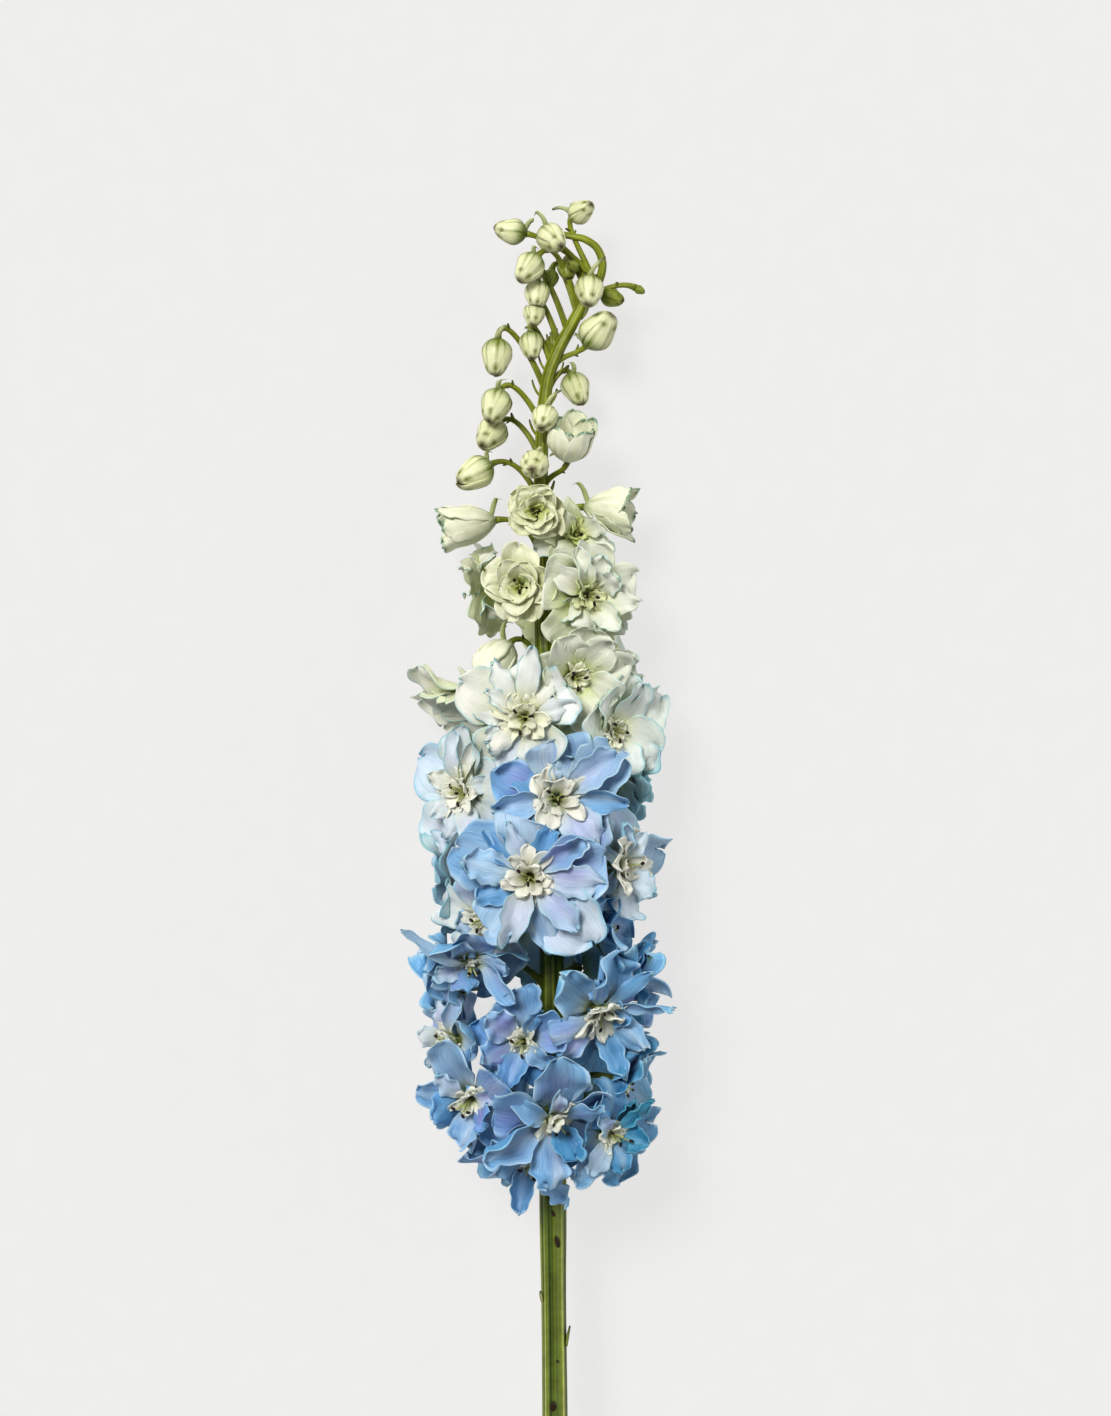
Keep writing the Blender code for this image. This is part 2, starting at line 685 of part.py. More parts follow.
def make_floret(bloom, room, part, ivory):
    """The floret, and its bee if that is separate."""
    draw = np.random.default_rng([SEED, int(bloom.name[-2:])])
    place = placer(bloom, room)
    double = bloom.name in DOUBLE
    rows = 2 if abs(bloom.turn) > 76 or bloom.size < 30 else 3
    bee = 0.0 if double else blend(0.6, 1, bloom.stage) * bloom.size * MM
    floret = whorl_body(bloom.name, sepal_whorl(bloom), rows, place, draw, part, bee)
    pieces = hidden_collection(bloom.name + "_pieces")
    spur_body("spur", bloom, place, pieces)
    if double:
        inner = sepal_whorl(bloom, shorter=0.72, closer=16, start=0.3 * CORE_RADIUS)
        whorl_body("inner", inner, 2, place, draw, pieces)
        finish(bee_body(bloom.name + "_bee", bloom, CORE_RADIUS, place, part), ivory)
    boolean(floret, "UNION", pieces)
    return floret


def floret_material(bloom, materials):
    if bloom.along > 80:
        return materials["cream"]
    return materials["white"] if bloom.along > 45 else materials["blue"]


def build():
    for obj in list(bpy.data.objects):
        bpy.data.objects.remove(obj)
    part = bpy.data.collections.new("delphinium_spike")
    bpy.context.scene.collection.children.link(part)
    green = new_material("stem_green", STEM_GREEN, 0.5)
    cream_bud = new_material("bud_cream", BUD_CREAM, 0.45)
    ivory = new_material("bee_ivory", BEE_IVORY, 0.5)
    materials = {
        "cream": new_material("floret_cream", FLORET_CREAM, 0.5),
        "white": new_material("floret_white", FLORET_WHITE, 0.5),
        "blue": new_material("floret_blue", FLORET_BLUE, 0.5),
    }

    blooms = FLORETS + BUDS + TIP_BUDS
    rooms = {
        bloom.name: room_of(bloom, [other for other in blooms if other is not bloom]) for bloom in blooms
    }

    stem = tube("stem", STEM_LINE[:, :3], STEM_LINE[:, 3], STEM_BEVEL, part)
    branches = hidden_collection("branches")
    for bloom in blooms:
        branch(bloom, 0.0, rooms[bloom.name], branches)
    boolean(stem, "UNION", branches)
    largest_island(stem.data)
    finish(stem, green)

    guards = hidden_collection("guards")
    for bloom in blooms:
        branch(bloom, CLEARANCE, rooms[bloom.name], guards)
    tube("stem_guard", STEM_LINE[:, :3], STEM_LINE[:, 3] + CLEARANCE, STEM_BEVEL, guards)
    tools = list(guards.objects)

    for bloom in BUDS:
        bud = bud_body(bloom.name, bloom, 0.0, placer(bloom, rooms[bloom.name]), part)
        pieces = hidden_collection(bloom.name + "_pieces")
        spur_body("spur", bloom, placer(bloom, rooms[bloom.name]), pieces)
        boolean(bud, "UNION", pieces)
        clear_of(bud, tools)
        finish(bud, cream_bud)
    for bloom in FLORETS:
        material = floret_material(bloom, materials)
        floret = make_floret(bloom, rooms[bloom.name], part, ivory)
        clear_of(floret, tools)
        finish(floret, material)

    for tool in tools:
        bpy.data.objects.remove(tool)
    bpy.data.collections.remove(guards)


build()
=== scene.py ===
# %% [markdown]
# # A delphinium spike, petal by petal
#
# A delphinium spike is a tall stem with dozens of florets in a spiral round it. This one is cut and lies on
# a pale floor, and the camera looks straight down on it. The solid model gives the stem, the place of every
# bloom and its rough form. Here each of them becomes a finer piece: ribbed stem, swan-necked stalks, buds
# of folded sepals, and florets with waved petals round a crinkled centre, the bee.

# %% Load the solid model
import math

import bpy
import numpy as np
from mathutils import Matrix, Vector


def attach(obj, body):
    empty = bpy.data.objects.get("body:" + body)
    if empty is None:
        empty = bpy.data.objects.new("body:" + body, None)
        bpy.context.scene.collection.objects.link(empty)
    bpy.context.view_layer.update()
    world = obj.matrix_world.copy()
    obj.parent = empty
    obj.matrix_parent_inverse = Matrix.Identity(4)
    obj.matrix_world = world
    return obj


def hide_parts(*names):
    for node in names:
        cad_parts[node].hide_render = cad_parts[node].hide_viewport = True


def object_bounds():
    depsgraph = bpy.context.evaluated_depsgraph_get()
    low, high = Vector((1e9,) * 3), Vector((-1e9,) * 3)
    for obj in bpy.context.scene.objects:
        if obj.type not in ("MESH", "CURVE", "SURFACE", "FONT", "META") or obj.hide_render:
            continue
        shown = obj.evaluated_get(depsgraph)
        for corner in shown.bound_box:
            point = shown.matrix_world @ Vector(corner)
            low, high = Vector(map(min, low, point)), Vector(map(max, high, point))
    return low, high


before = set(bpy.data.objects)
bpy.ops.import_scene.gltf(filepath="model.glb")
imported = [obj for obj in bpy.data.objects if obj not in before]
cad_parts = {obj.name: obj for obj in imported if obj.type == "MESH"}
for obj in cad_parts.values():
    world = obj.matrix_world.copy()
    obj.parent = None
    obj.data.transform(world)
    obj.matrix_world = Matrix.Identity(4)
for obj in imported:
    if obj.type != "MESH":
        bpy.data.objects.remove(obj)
solid_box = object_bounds()
BOX_LOW, BOX_HIGH = (np.array(corner) for corner in solid_box)
MM = 0.001
print("solid model:", np.round((BOX_HIGH - BOX_LOW) / MM), "mm,", len(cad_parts), "nodes")

# %% [markdown]
# ## Where the blooms are
#
# A spike is a raceme: one axis, and at each turn of a spiral one bloom on its own stalk. The oldest florets
# are the lowest and the bluest, the youngest are green buds at the tip. A list holds where each one sits,
# because nature places them with small accidents that no formula gives. All else follows from this list.

# %% The stem's line and the list of blooms
# across, along, height above the floor and radius
STEM_LINE = MM * np.array(
    [
        (5.6, -241.5, 35.0, 4.5),
        (5.6, -190.0, 33.5, 4.4),
        (5.2, -145.0, 32.0, 4.3),
        (4.9, -110.0, 31.0, 4.6),
        (4.6, -60.0, 30.0, 4.2),
        (4.2, -5.0, 28.0, 4.0),
        (3.5, 37.0, 26.0, 3.8),
        (2.1, 82.0, 23.5, 3.5),
        (1.0, 114.0, 21.5, 3.0),
        (0.7, 149.0, 20.0, 2.4),
        (2.4, 175.0, 19.5, 2.2),
        (6.3, 187.5, 19.5, 2.2),
        (11.0, 196.5, 19.5, 2.1),
        (15.5, 205.0, 19.5, 1.9),
        (20.6, 212.0, 20.0, 1.6),
        (22.4, 218.5, 20.5, 1.45),
        (20.6, 224.2, 21.0, 1.35),
        (16.5, 227.4, 21.0, 1.3),
        (12.5, 228.5, 20.5, 1.2),
        (7.0, 229.6, 19.0, 1.2),
        (3.0, 230.5, 18.0, 1.1),
    ]
)
# A row: across, along, height above the stem's line and size in millimetres, openness from 0 to 1, turn and
# nod in degrees. A floret's last value is how far it has coloured: 0 is green cream, 0.4 white, 0.75 sky blue
# and 1 deep blue.
FLORETS = {
    "floret_01": (-3, -94, 14, 48, 0.75, -20, 66, 0.78),
    "floret_02": (24, -85, 19, 46, 0.90, 35, 16, 0.90),
    "floret_03": (4, -78, 27, 56, 0.85, 22, 38, 0.80),
    "floret_04": (-23, -73, 17, 50, 0.85, -38, 30, 0.84),
    "floret_05": (26, -68, 3, 46, 0.85, 74, 26, 0.92),
    "floret_06": (-29, -54, 4, 48, 0.85, -62, 10, 0.70),
    "floret_07": (-5, -53, 21, 44, 0.85, -20, 10, 0.95),
    "floret_08": (20, -42, 22, 56, 0.85, 32, 32, 0.84),
    "floret_09": (-27, -37, -8, 46, 0.85, -108, 10, 0.72),
    "floret_10": (27, -36, 0, 48, 0.80, 90, 14, 0.90),
    "floret_11": (-24, -25, 17, 50, 0.60, 18, 52, 0.72),
    "floret_12": (20, -17, 12, 46, 0.85, 84, -10, 0.82),
    "floret_13": (-18, -11, 14, 44, 0.85, -30, 16, 0.55),
    "floret_14": (-27, 3, -4, 42, 0.80, -92, 8, 0.60),
    "floret_15": (-3, 4, 33, 58, 1.00, -4, 3, 0.68),
    "floret_16": (26, 8, 18, 50, 0.90, 50, 12, 0.62),
    "floret_17": (6, 31, 28, 54, 1.00, 4, 0, 0.78),
    "floret_18": (-25, 33, 15, 50, 0.90, -42, 2, 0.56),
    "floret_19": (27, 37, -3, 44, 0.80, 96, 14, 0.62),
    "floret_20": (25, 54, 13, 40, 0.70, 44, 0, 0.44),
    "floret_21": (-5, 59, 26, 50, 1.00, -8, 3, 0.47),
    "floret_22": (-22, 68, 3, 40, 0.50, -56, 56, 0.36),
    "floret_23": (12, 73, 20, 40, 0.75, 20, 8, 0.30),
    "floret_24": (21, 84, 3, 40, 0.65, 74, -8, 0.32),
    "floret_25": (-6, 105, 15, 30, 0.50, -12, 4, 0.12),
    "floret_26": (16, 102, 15, 42, 0.90, 26, 10, 0.24),
    "floret_27": (-18, 106, -6, 40, 0.80, -106, 8, 0.34),
    "floret_28": (12, 123, 6, 27, 0.65, 24, -4, 0.14),
    "floret_29": (-1, 131, 13, 27, 0.45, 0, 2, 0.04),
    "floret_30": (-6, -84, -14, 46, 0.85, -140, 16, 0.84),
    "floret_31": (14, -76, -15, 46, 0.85, 140, 12, 0.88),
    "floret_32": (14, -30, -13, 48, 0.85, 136, 4, 0.80),
    "floret_33": (-6, -14, -14, 48, 0.85, -142, 6, 0.72),
    "floret_34": (12, 18, -14, 46, 0.85, 140, 4, 0.66),
    "floret_35": (-7, 40, -13, 46, 0.85, -140, 4, 0.56),
    "floret_36": (8, 72, -12, 42, 0.80, 150, 4, 0.36),
    "floret_37": (4, 100, -11, 36, 0.75, 165, 4, 0.22),
}
BUDS = {
    "bud_01": (-10, 85, 4, 19, 0.30, -56, 46),
    "bud_02": (-15, 128.5, -1, 19, 0.30, -80, 10),
    "bud_03": (15.5, 133, 2, 18, 0.30, 80, 6),
    "bud_04": (10, 149, 5, 17, 0.30, 14, -58),
    "bud_05": (-1, 149, 9, 12, 0.00, -6, 18),
    "bud_06": (-17, 148, 2, 14, 0.05, -62, 28),
    "bud_07": (-14, 163, -4, 13, 0.00, -36, 40),
    "bud_08": (3, 167, 8, 11, 0.00, -14, 38),
    "bud_09": (-13.5, 174, 3, 13, 0.00, -30, 56),
    "bud_10": (11, 180.5, -5, 12, 0.00, 40, 60),
    "bud_11": (-14.5, 192.5, 2, 13, 0.00, -14, 74),
    "bud_12": (-3, 195, 0, 10, 0.00, 8, 70),
    "bud_13": (16.5, 190, 0, 15, 0.10, 52, -42),
    "bud_14": (18, 213.5, 5, 12, 0.00, -6, 54),
    "bud_15": (-0.5, 212.5, 1.5, 10.5, 0.00, -4, 62),
    "bud_16": (-0.5, 221, 6, 12, 0.00, -46, 46),
    "bud_17": (-4.5, 229.5, 2, 11, 0.00, -78, -8),
    "bud_18": (1.5, 230.5, 4, 12, 0.00, 36, 32),
    "bud_19": (11.5, 235, 3, 10, 0.00, 46, -24),
}
TIP_BUDS = {
    "tip_bud_01": (-1.5, 204.5, 2, 9, 0.0, -6, 56),
    "tip_bud_02": (5, 194, -4, 8, 0.0, 20, 66),
    "tip_bud_03": (22, 208.5, -2, 8, 0.0, 74, 20),
    "tip_bud_04": (4.5, 217, -5, 7, 0.0, -20, 60),
    "tip_bud_05": (9.5, 220, -4, 8, 0.0, 10, 50),
    "tip_bud_06": (13, 217.5, 0, 5, 0.0, -30, -10),
    "tip_bud_07": (34, 210.5, 1, 3.5, 0.0, 74, 30),
}
DOUBLE = ("floret_15", "floret_17", "floret_21")
print(len(FLORETS), "florets,", len(BUDS), "buds,", len(TIP_BUDS), "young buds at the tip")

# %% [markdown]
# ## From the list to places and directions
#
# A bloom has axes of its own: sideways, towards the tip of the spike, and out of its face. A petal is first
# worked out in those axes, as if the floret stood alone and faced us, and then turned to its place. One set
# of formulas serves all florets this way.


# %% Places and axes
# a bloom that is less open than this is a bud
BUD_STAGE = 0.4
# shares of a bloom's size: how far its middle lies out from its throat, and how much space it claims
BUD_MIDDLE, FLORET_MIDDLE = 0.5, 0.14
BUD_SPREAD, FLORET_SPREAD = 0.55, 0.3
# a floret that is turned away by more than this, in degrees, and nods by less, has a coarser grid
SEEN_TURN, SEEN_NOD = 112, 40


def stem_at(along):
    """The stem's centre and radius at a place along it, read off between the knots."""
    rising = STEM_LINE[: int(np.argmax(STEM_LINE[:, 1])) + 1]
    across, height, radius = (np.interp(along, rising[:, 1], rising[:, column]) for column in (0, 2, 3))
    return np.array([across, along, height]), float(radius)


class Bloom:
    """A bud or floret: its throat, its axes as columns, its size in metres and how far it is open.

    along, its place along the spike, stays in millimetres. centre and spread are the middle of its room and
    how much of the space between it and a neighbour it claims.
    """

    def __init__(self, name, across, along, above, size, stage, turn, nod, tone=0.0):
        self.name, self.size, self.stage, self.turn, self.along = name, size * MM, stage, turn, along
        self.tone, self.is_bud = tone, stage < BUD_STAGE
        beside, _ = stem_at(along * MM)
        self.throat = np.array([across * MM, along * MM, beside[2] + above * MM])
        turn, nod = math.radians(turn), math.radians(nod)
        face = np.array([math.sin(turn) * math.cos(nod), -math.sin(nod), math.cos(turn) * math.cos(nod)])
        upward = np.array([0.0, 1.0, 0.0]) - face[1] * face
        upward /= np.linalg.norm(upward)
        self.axes = np.column_stack([np.cross(upward, face), upward, face])
        self.centre = self.throat + (BUD_MIDDLE if self.is_bud else FLORET_MIDDLE) * self.size * face
        self.spread = (BUD_SPREAD if self.is_bud else FLORET_SPREAD) * self.size
        self.is_seen = abs(self.turn) < SEEN_TURN or math.degrees(math.asin(abs(face[1]))) > SEEN_NOD


blooms = {name: Bloom(name, *row) for name, row in {**FLORETS, **BUDS, **TIP_BUDS}.items()}
print("lowest throat", round(min(b.throat[2] for b in blooms.values()) / MM, 1), "mm above the floor")

# %% [markdown]
# ## Room for every bloom
#
# On a real spike the florets press against each other and their petals slip between their neighbours'. Each
# bloom gets a room: flat walls near the middle of the way to its neighbours, one against the stem, one on
# the floor, and the sides of the solid model's box. A petal that would pass a wall is drawn back towards
# the middle of its room, gently at first and fully at the wall, so it looks bent by its neighbour. Buds
# keep clear of each other, and the rooms of two florets overlap by a few millimetres.

# %% Rooms and how petals settle in them
# how far walls stand back: from a bud's neighbour, from the box's sides and from the stem's skin
WALL_GAP = 0.15 * MM
BOX_GAP = 0.35 * MM
STEM_GAP = 0.5 * MM
# the stem's wall is never nearer to a bloom's centre than this
LEAST_TO_STEM = 2.5 * MM
# how far a floret's petals may pass the wall to another floret
PETALS_MEET = 2.6 * MM
# petals keep their form in this share of the way to a wall
FREE_SHARE = 0.82


def room_of(bloom):
    """Directions and distances of the walls round a bloom's centre.

    The wall to a neighbour stands where both squared distances, each less the square of its bloom's spread,
    are equal, so a bigger bloom gets more of the space between. Two florets' rooms overlap a little there,
    as their petals do, and a double floret's reaches further over its neighbours'.
    """
    normals, distances = [], []
    for other in blooms.values():
        if other is bloom:
            continue
        towards = other.centre - bloom.centre
        span = np.linalg.norm(towards)
        normals.append(towards / span)
        on_top = (bloom.name in DOUBLE) - 0.6 * (other.name in DOUBLE)
        give = -WALL_GAP if bloom.is_bud or other.is_bud else PETALS_MEET * (1 + on_top)
        distances.append((span**2 + bloom.spread**2 - other.spread**2) / (2 * span) + give)
    axis, radius = stem_at(bloom.centre[1])
    inwards = (axis - bloom.centre) * [1, 0, 1]
    normals.append(inwards / np.linalg.norm(inwards))
    distances.append(max(np.linalg.norm(inwards) - radius - STEM_GAP, LEAST_TO_STEM))
    for side in range(3):
        for sign, corner in ((-1, BOX_LOW), (1, BOX_HIGH)):
            wall = np.zeros(3)
            wall[side] = sign
            normals.append(wall)
            distances.append(sign * (corner[side] - bloom.centre[side]) - BOX_GAP)
    return np.array(normals), np.array(distances)


def settled(points, bloom):
    """Points in the bloom's axes, put in place and drawn inside its room.

    Each point keeps its direction from the room's centre. Its distance, as a share of the distance to the
    nearest wall that way, stays as it is up to the free share, and then bends towards 1 as tanh does.
    """
    shape = points.shape
    offset = bloom.throat + points.reshape(-1, 3) @ bloom.axes.T - bloom.centre
    distance = np.maximum(np.linalg.norm(offset, axis=1), 1e-9)
    direction = offset / distance[:, None]
    normals, walls = bloom.room
    limit = (walls / np.maximum(direction @ normals.T, 1e-3)).min(axis=1)
    share, rest = distance / limit, 1 - FREE_SHARE
    bent = FREE_SHARE + rest * np.tanh((share - FREE_SHARE) / rest)
    share = np.where(share < FREE_SHARE, share, bent)
    return (bloom.centre + direction * (limit * share)[:, None]).reshape(shape)


for bloom in blooms.values():
    bloom.room = room_of(bloom)
print("walls round each bloom:", len(bloom.room[1]))

# %% [markdown]
# ## Two kinds of skin
#
# Everything here is one of two closed surfaces. A blade is a thin leaf: a grid of points for its middle,
# moved half its thickness to each side and closed round the edge. A limb is a tube or an egg: rings along a
# line, closed by a point at each end. Both are worked out as whole arrays, and a Skin gathers many of them
# into one mesh with a colour for each point and a map of where it lies on its petal.


# %% Blades and limbs
def grid_triangles(rows, columns, wrap=False):
    """Two triangles for each cell of a grid. With wrap, the last column joins the first."""
    index = np.arange(rows * columns).reshape(rows, columns)
    if wrap:
        index = np.hstack([index, index[:, :1]])
    a, b, c, d = index[:-1, :-1], index[1:, :-1], index[1:, 1:], index[:-1, 1:]
    return np.concatenate([np.stack([a, b, c], -1).reshape(-1, 3), np.stack([a, c, d], -1).reshape(-1, 3)])


def unit(vectors):
    return vectors / np.maximum(np.linalg.norm(vectors, axis=-1, keepdims=True), 1e-12)


def blade_points(middle, thickness):
    """Both faces of a blade: the middle surface plus and minus half the thickness along its normal.

    The normal is the cross product of the grid's two directions. thickness is a number or a grid.
    """
    along, across = np.gradient(middle, axis=0), np.gradient(middle, axis=1)
    shift = unit(np.cross(along, across)) * (0.5 * np.broadcast_to(thickness, middle.shape[:2]))[..., None]
    return np.concatenate([(middle + shift).reshape(-1, 3), (middle - shift).reshape(-1, 3)])


def blade_triangles(rows, columns):
    """The front grid, the back grid turned over, and a strip that joins them round the edge."""
    front = grid_triangles(rows, columns)
    size = rows * columns
    index = np.arange(size).reshape(rows, columns)
    edge = np.concatenate([index[0, :-1], index[:-1, -1], index[-1, :0:-1], index[:0:-1, 0]])
    ahead = np.roll(edge, -1)
    strip = [np.stack([edge, ahead, edge + size], -1), np.stack([ahead, ahead + size, edge + size], -1)]
    return np.concatenate([front, front[:, ::-1] + size, *strip])


def limb_points(line, radius):
    """Rings round a line, and a closing point at each end. radius is a grid: one row for each ring.

    A ring stands square to the line. Its first direction is the one, of the three axes, that the line
    follows least, made square to the line.
    """
    tangent = unit(np.gradient(line, axis=0))
    reference = np.eye(3)[int(np.argmin(np.abs(tangent).max(axis=0)))]
    side = unit(np.cross(tangent, reference))
    up = np.cross(side, tangent)
    around = 2 * np.pi * np.arange(radius.shape[1]) / radius.shape[1]
    ring = side[:, None] * np.cos(around)[:, None] + up[:, None] * np.sin(around)[:, None]
    points = line[:, None] + radius[..., None] * ring
    return np.concatenate([points.reshape(-1, 3), line[:1], line[-1:]])


def limb_triangles(rings, segments):
    """The wall, and a fan of triangles from each end point to its ring."""
    wall = grid_triangles(rings, segments, wrap=True)
    size = rings * segments
    first = np.arange(segments)
    ahead, last = np.roll(first, -1), first + size - segments
    foot = np.stack([np.full(segments, size), first, ahead], -1)
    top = np.stack([np.full(segments, size + 1), np.roll(last, -1), last], -1)
    return np.concatenate([wall, foot, top])


print("a blade of 14 by 9 points has", len(blade_triangles(14, 9)), "triangles")


# %% The mesh that holds them
class Skin:
    """Gathers closed surfaces and makes one mesh of them."""

    def __init__(self):
        self.points, self.triangles, self.colours, self.maps, self.finishes = [], [], [], [], []
        self.count = 0

    def add(self, points, triangles, colour, uv, finish=0):
        self.points.append(points)
        self.triangles.append(triangles + self.count)
        self.colours.append(np.broadcast_to(colour, (len(points), 3)))
        self.maps.append(np.broadcast_to(uv, (len(points), 2)))
        self.finishes.append(np.full(len(triangles), finish))
        self.count += len(points)

    def add_blade(self, middle, thickness, colour, u, v, finish=0, bloom=None):
        """colour is a grid like middle, or a pair of grids for the front and the back.

        With a bloom, the middle is in its axes, and stays in its room. v runs from -1 to 1 and the map to 1.
        """
        middle = settled(middle, bloom) if bloom else middle
        both = [part.reshape(-1, 3) for part in (colour if len(colour) == 2 else (colour, colour))]
        flat = np.stack([u, 0.5 + 0.5 * v], -1).reshape(-1, 2)
        triangles = blade_triangles(*middle.shape[:2])
        points = blade_points(middle, thickness)
        self.add(points, triangles, np.concatenate(both), np.concatenate([flat, flat]), finish)

    def add_limb(self, line, radius, colour, finish=0, bloom=None):
        """colour is a grid, one row for each ring, or a single colour. With a bloom, as for a blade."""
        rings, segments = radius.shape
        points = limb_points(line, radius)
        points = settled(points, bloom) if bloom else points
        if np.ndim(colour) < 3:
            colour = np.broadcast_to(colour, (rings, 3))[:, None]
        grid = np.broadcast_to(colour, (rings, segments, 3))
        tint = np.concatenate([grid.reshape(-1, 3), grid[0, :1], grid[-1, :1]])
        u, v = np.meshgrid(np.linspace(0, 1, rings), np.linspace(0, 1, segments), indexing="ij")
        uv = np.concatenate([np.stack([u, v], -1).reshape(-1, 2), [[0, 0.5], [1, 0.5]]])
        self.add(points, limb_triangles(rings, segments), tint, uv, finish)

    def make(self, name, materials, replaces):
        """The mesh as a piece that stands for solid nodes and hides them, with the given materials on its
        faces.
        """
        points, triangles = np.concatenate(self.points), np.concatenate(self.triangles)
        mesh = bpy.data.meshes.new(name)
        mesh.vertices.add(len(points))
        mesh.vertices.foreach_set("co", points.ravel())
        mesh.loops.add(triangles.size)
        mesh.loops.foreach_set("vertex_index", triangles.ravel())
        mesh.polygons.add(len(triangles))
        mesh.polygons.foreach_set("loop_start", np.arange(0, triangles.size, 3))
        mesh.update(calc_edges=True)
        colour = mesh.color_attributes.new("colour", "FLOAT_COLOR", "POINT")
        opaque = np.column_stack([np.concatenate(self.colours), np.ones(len(points))])
        colour.data.foreach_set("color", opaque.ravel())
        uv = mesh.uv_layers.new(name="petal")
        uv.data.foreach_set("uv", np.concatenate(self.maps)[triangles.ravel()].ravel())
        for material in materials:
            mesh.materials.append(material)
        mesh.polygons.foreach_set("material_index", np.concatenate(self.finishes))
        mesh.shade_smooth()
        piece = bpy.data.objects.new(name, mesh)
        bpy.context.scene.collection.objects.link(piece)
        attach(piece, "root")
        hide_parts(*replaces)
        return piece


print("an empty skin has", Skin().count, "points")

# %% [markdown]
# ## Finishes
#
# Petals are silky and let light through, with fine veins that fan out from the base. The map on each petal
# runs from base to tip and from edge to edge, so a noise that is stretched along it gives those veins
# without drawing them one by one. The points carry the broad colour, and the nodes add veins, mottling and
# relief.


# %% A helper for nodes, and the finishes
def add_node(tree, kind, settings=(), **inputs):
    """Adds a shader node. An input is a value or another node's output, and _ stands for a space."""
    made = tree.nodes.new(kind)
    for name, value in dict(settings).items():
        setattr(made, name, value)
    for name, value in inputs.items():
        socket = made.inputs[int(name[5:]) if name.startswith("input") else name.replace("_", " ")]
        if isinstance(value, bpy.types.NodeSocket):
            tree.links.new(value, socket)
        else:
            socket.default_value = value
    return made


def ramp(tree, value, *stops):
    """A colour ramp from grey to grey: each stop is a place and a brightness."""
    made = add_node(tree, "ShaderNodeValToRGB", Fac=value)
    for element, (place, grey) in zip(made.color_ramp.elements, stops):
        element.position, element.color = place, (grey, grey, grey, 1)
    return made.outputs["Color"]


def multiplied(tree, share, first, second):
    """Two colours multiplied with each other. The share says how much of that shows."""
    settings = {"blend_type": "MULTIPLY"}
    made = add_node(tree, "ShaderNodeMixRGB", settings, Fac=share, Color1=first, Color2=second)
    return made.outputs["Color"]


def plant_material(name, veins, deepen, roughness, sheen, translucent, relief, speckle):
    """Veins across the map, mottling in space, both darkening the point colour and raising the relief.

    The veins are the point colour times itself, so a white petal's are white and a blue petal's a deeper
    blue. Light that has come through a petal is deeper than light that it throws back, in the same way.

    veins: how many across a petal. deepen: how much of the veins shows. translucent: the share of light that
    passes. relief: in metres. speckle: how much of the mottling shows.
    """
    material = bpy.data.materials.new(name)
    material.use_nodes = True
    tree = material.node_tree
    shader, output = tree.nodes["Principled BSDF"], tree.nodes["Material Output"]
    colour = add_node(tree, "ShaderNodeAttribute", {"attribute_name": "colour"}).outputs["Color"]
    uv = add_node(tree, "ShaderNodeUVMap", {"uv_map": "petal"}).outputs["UV"]
    space = add_node(tree, "ShaderNodeTexCoord").outputs["Object"]
    fan = add_node(tree, "ShaderNodeMapping", Vector=uv, Scale=(2.2, veins, 1.0)).outputs["Vector"]
    streak = add_node(tree, "ShaderNodeTexNoise", Vector=fan, Scale=1.0, Detail=3.0, Distortion=0.25)
    mottle = add_node(tree, "ShaderNodeTexNoise", Vector=space, Scale=210.0, Detail=4.0)
    streak, mottle = streak.outputs["Fac"], mottle.outputs["Fac"]
    lines = ramp(tree, streak, (0.42, 0.0), (0.62, deepen))
    cloud = ramp(tree, mottle, (0.35, 1.0 - speckle), (0.65, 1.0))
    base = multiplied(tree, 1.0, multiplied(tree, lines, colour, colour), cloud)
    added = add_node(tree, "ShaderNodeMath", {"operation": "ADD"}, input0=streak, input1=mottle)
    height = added.outputs["Value"]
    bump = add_node(tree, "ShaderNodeBump", Strength=0.6, Distance=relief, Height=height).outputs["Normal"]
    tree.links.new(base, shader.inputs["Base Color"])
    tree.links.new(bump, shader.inputs["Normal"])
    shader.inputs["Roughness"].default_value = roughness
    shader.inputs["Specular IOR Level"].default_value = 0.35
    shader.inputs["Sheen Weight"].default_value = sheen
    shader.inputs["Sheen Roughness"].default_value = 0.4
    if translucent:
        twice = multiplied(tree, 0.8, base, base)
        through = add_node(tree, "ShaderNodeBsdfTranslucent", Color=twice, Normal=bump).outputs["BSDF"]
        lit = shader.outputs["BSDF"]
        both = add_node(tree, "ShaderNodeMixShader", input0=translucent, input1=lit, input2=through)
        tree.links.new(both.outputs["Shader"], output.inputs["Surface"])
    return material


silk = plant_material(
    "petal silk",
    veins=34.0, deepen=0.42, roughness=0.36, sheen=0.04, translucent=0.13, relief=0.5 * MM, speckle=0.04,
)
bee_silk = plant_material(
    "bee silk",
    veins=8.0, deepen=0.3, roughness=0.42, sheen=0.04, translucent=0.20, relief=0.3 * MM, speckle=0.02,
)
bud_skin = plant_material(
    "bud skin",
    veins=12.0, deepen=0.5, roughness=0.34, sheen=0.06, translucent=0.10, relief=0.2 * MM, speckle=0.08,
)
green_skin = plant_material(
    "green skin",
    veins=30.0, deepen=0.85, roughness=0.28, sheen=0.02, translucent=0.0, relief=0.3 * MM, speckle=0.25,
)
anther_skin = plant_material(
    "anther skin",
    veins=4.0, deepen=0.5, roughness=0.6, sheen=0.0, translucent=0.0, relief=0.1 * MM, speckle=0.4,
)
print("finishes:", [material.name for material in (silk, bee_silk, bud_skin, green_skin, anther_skin)])
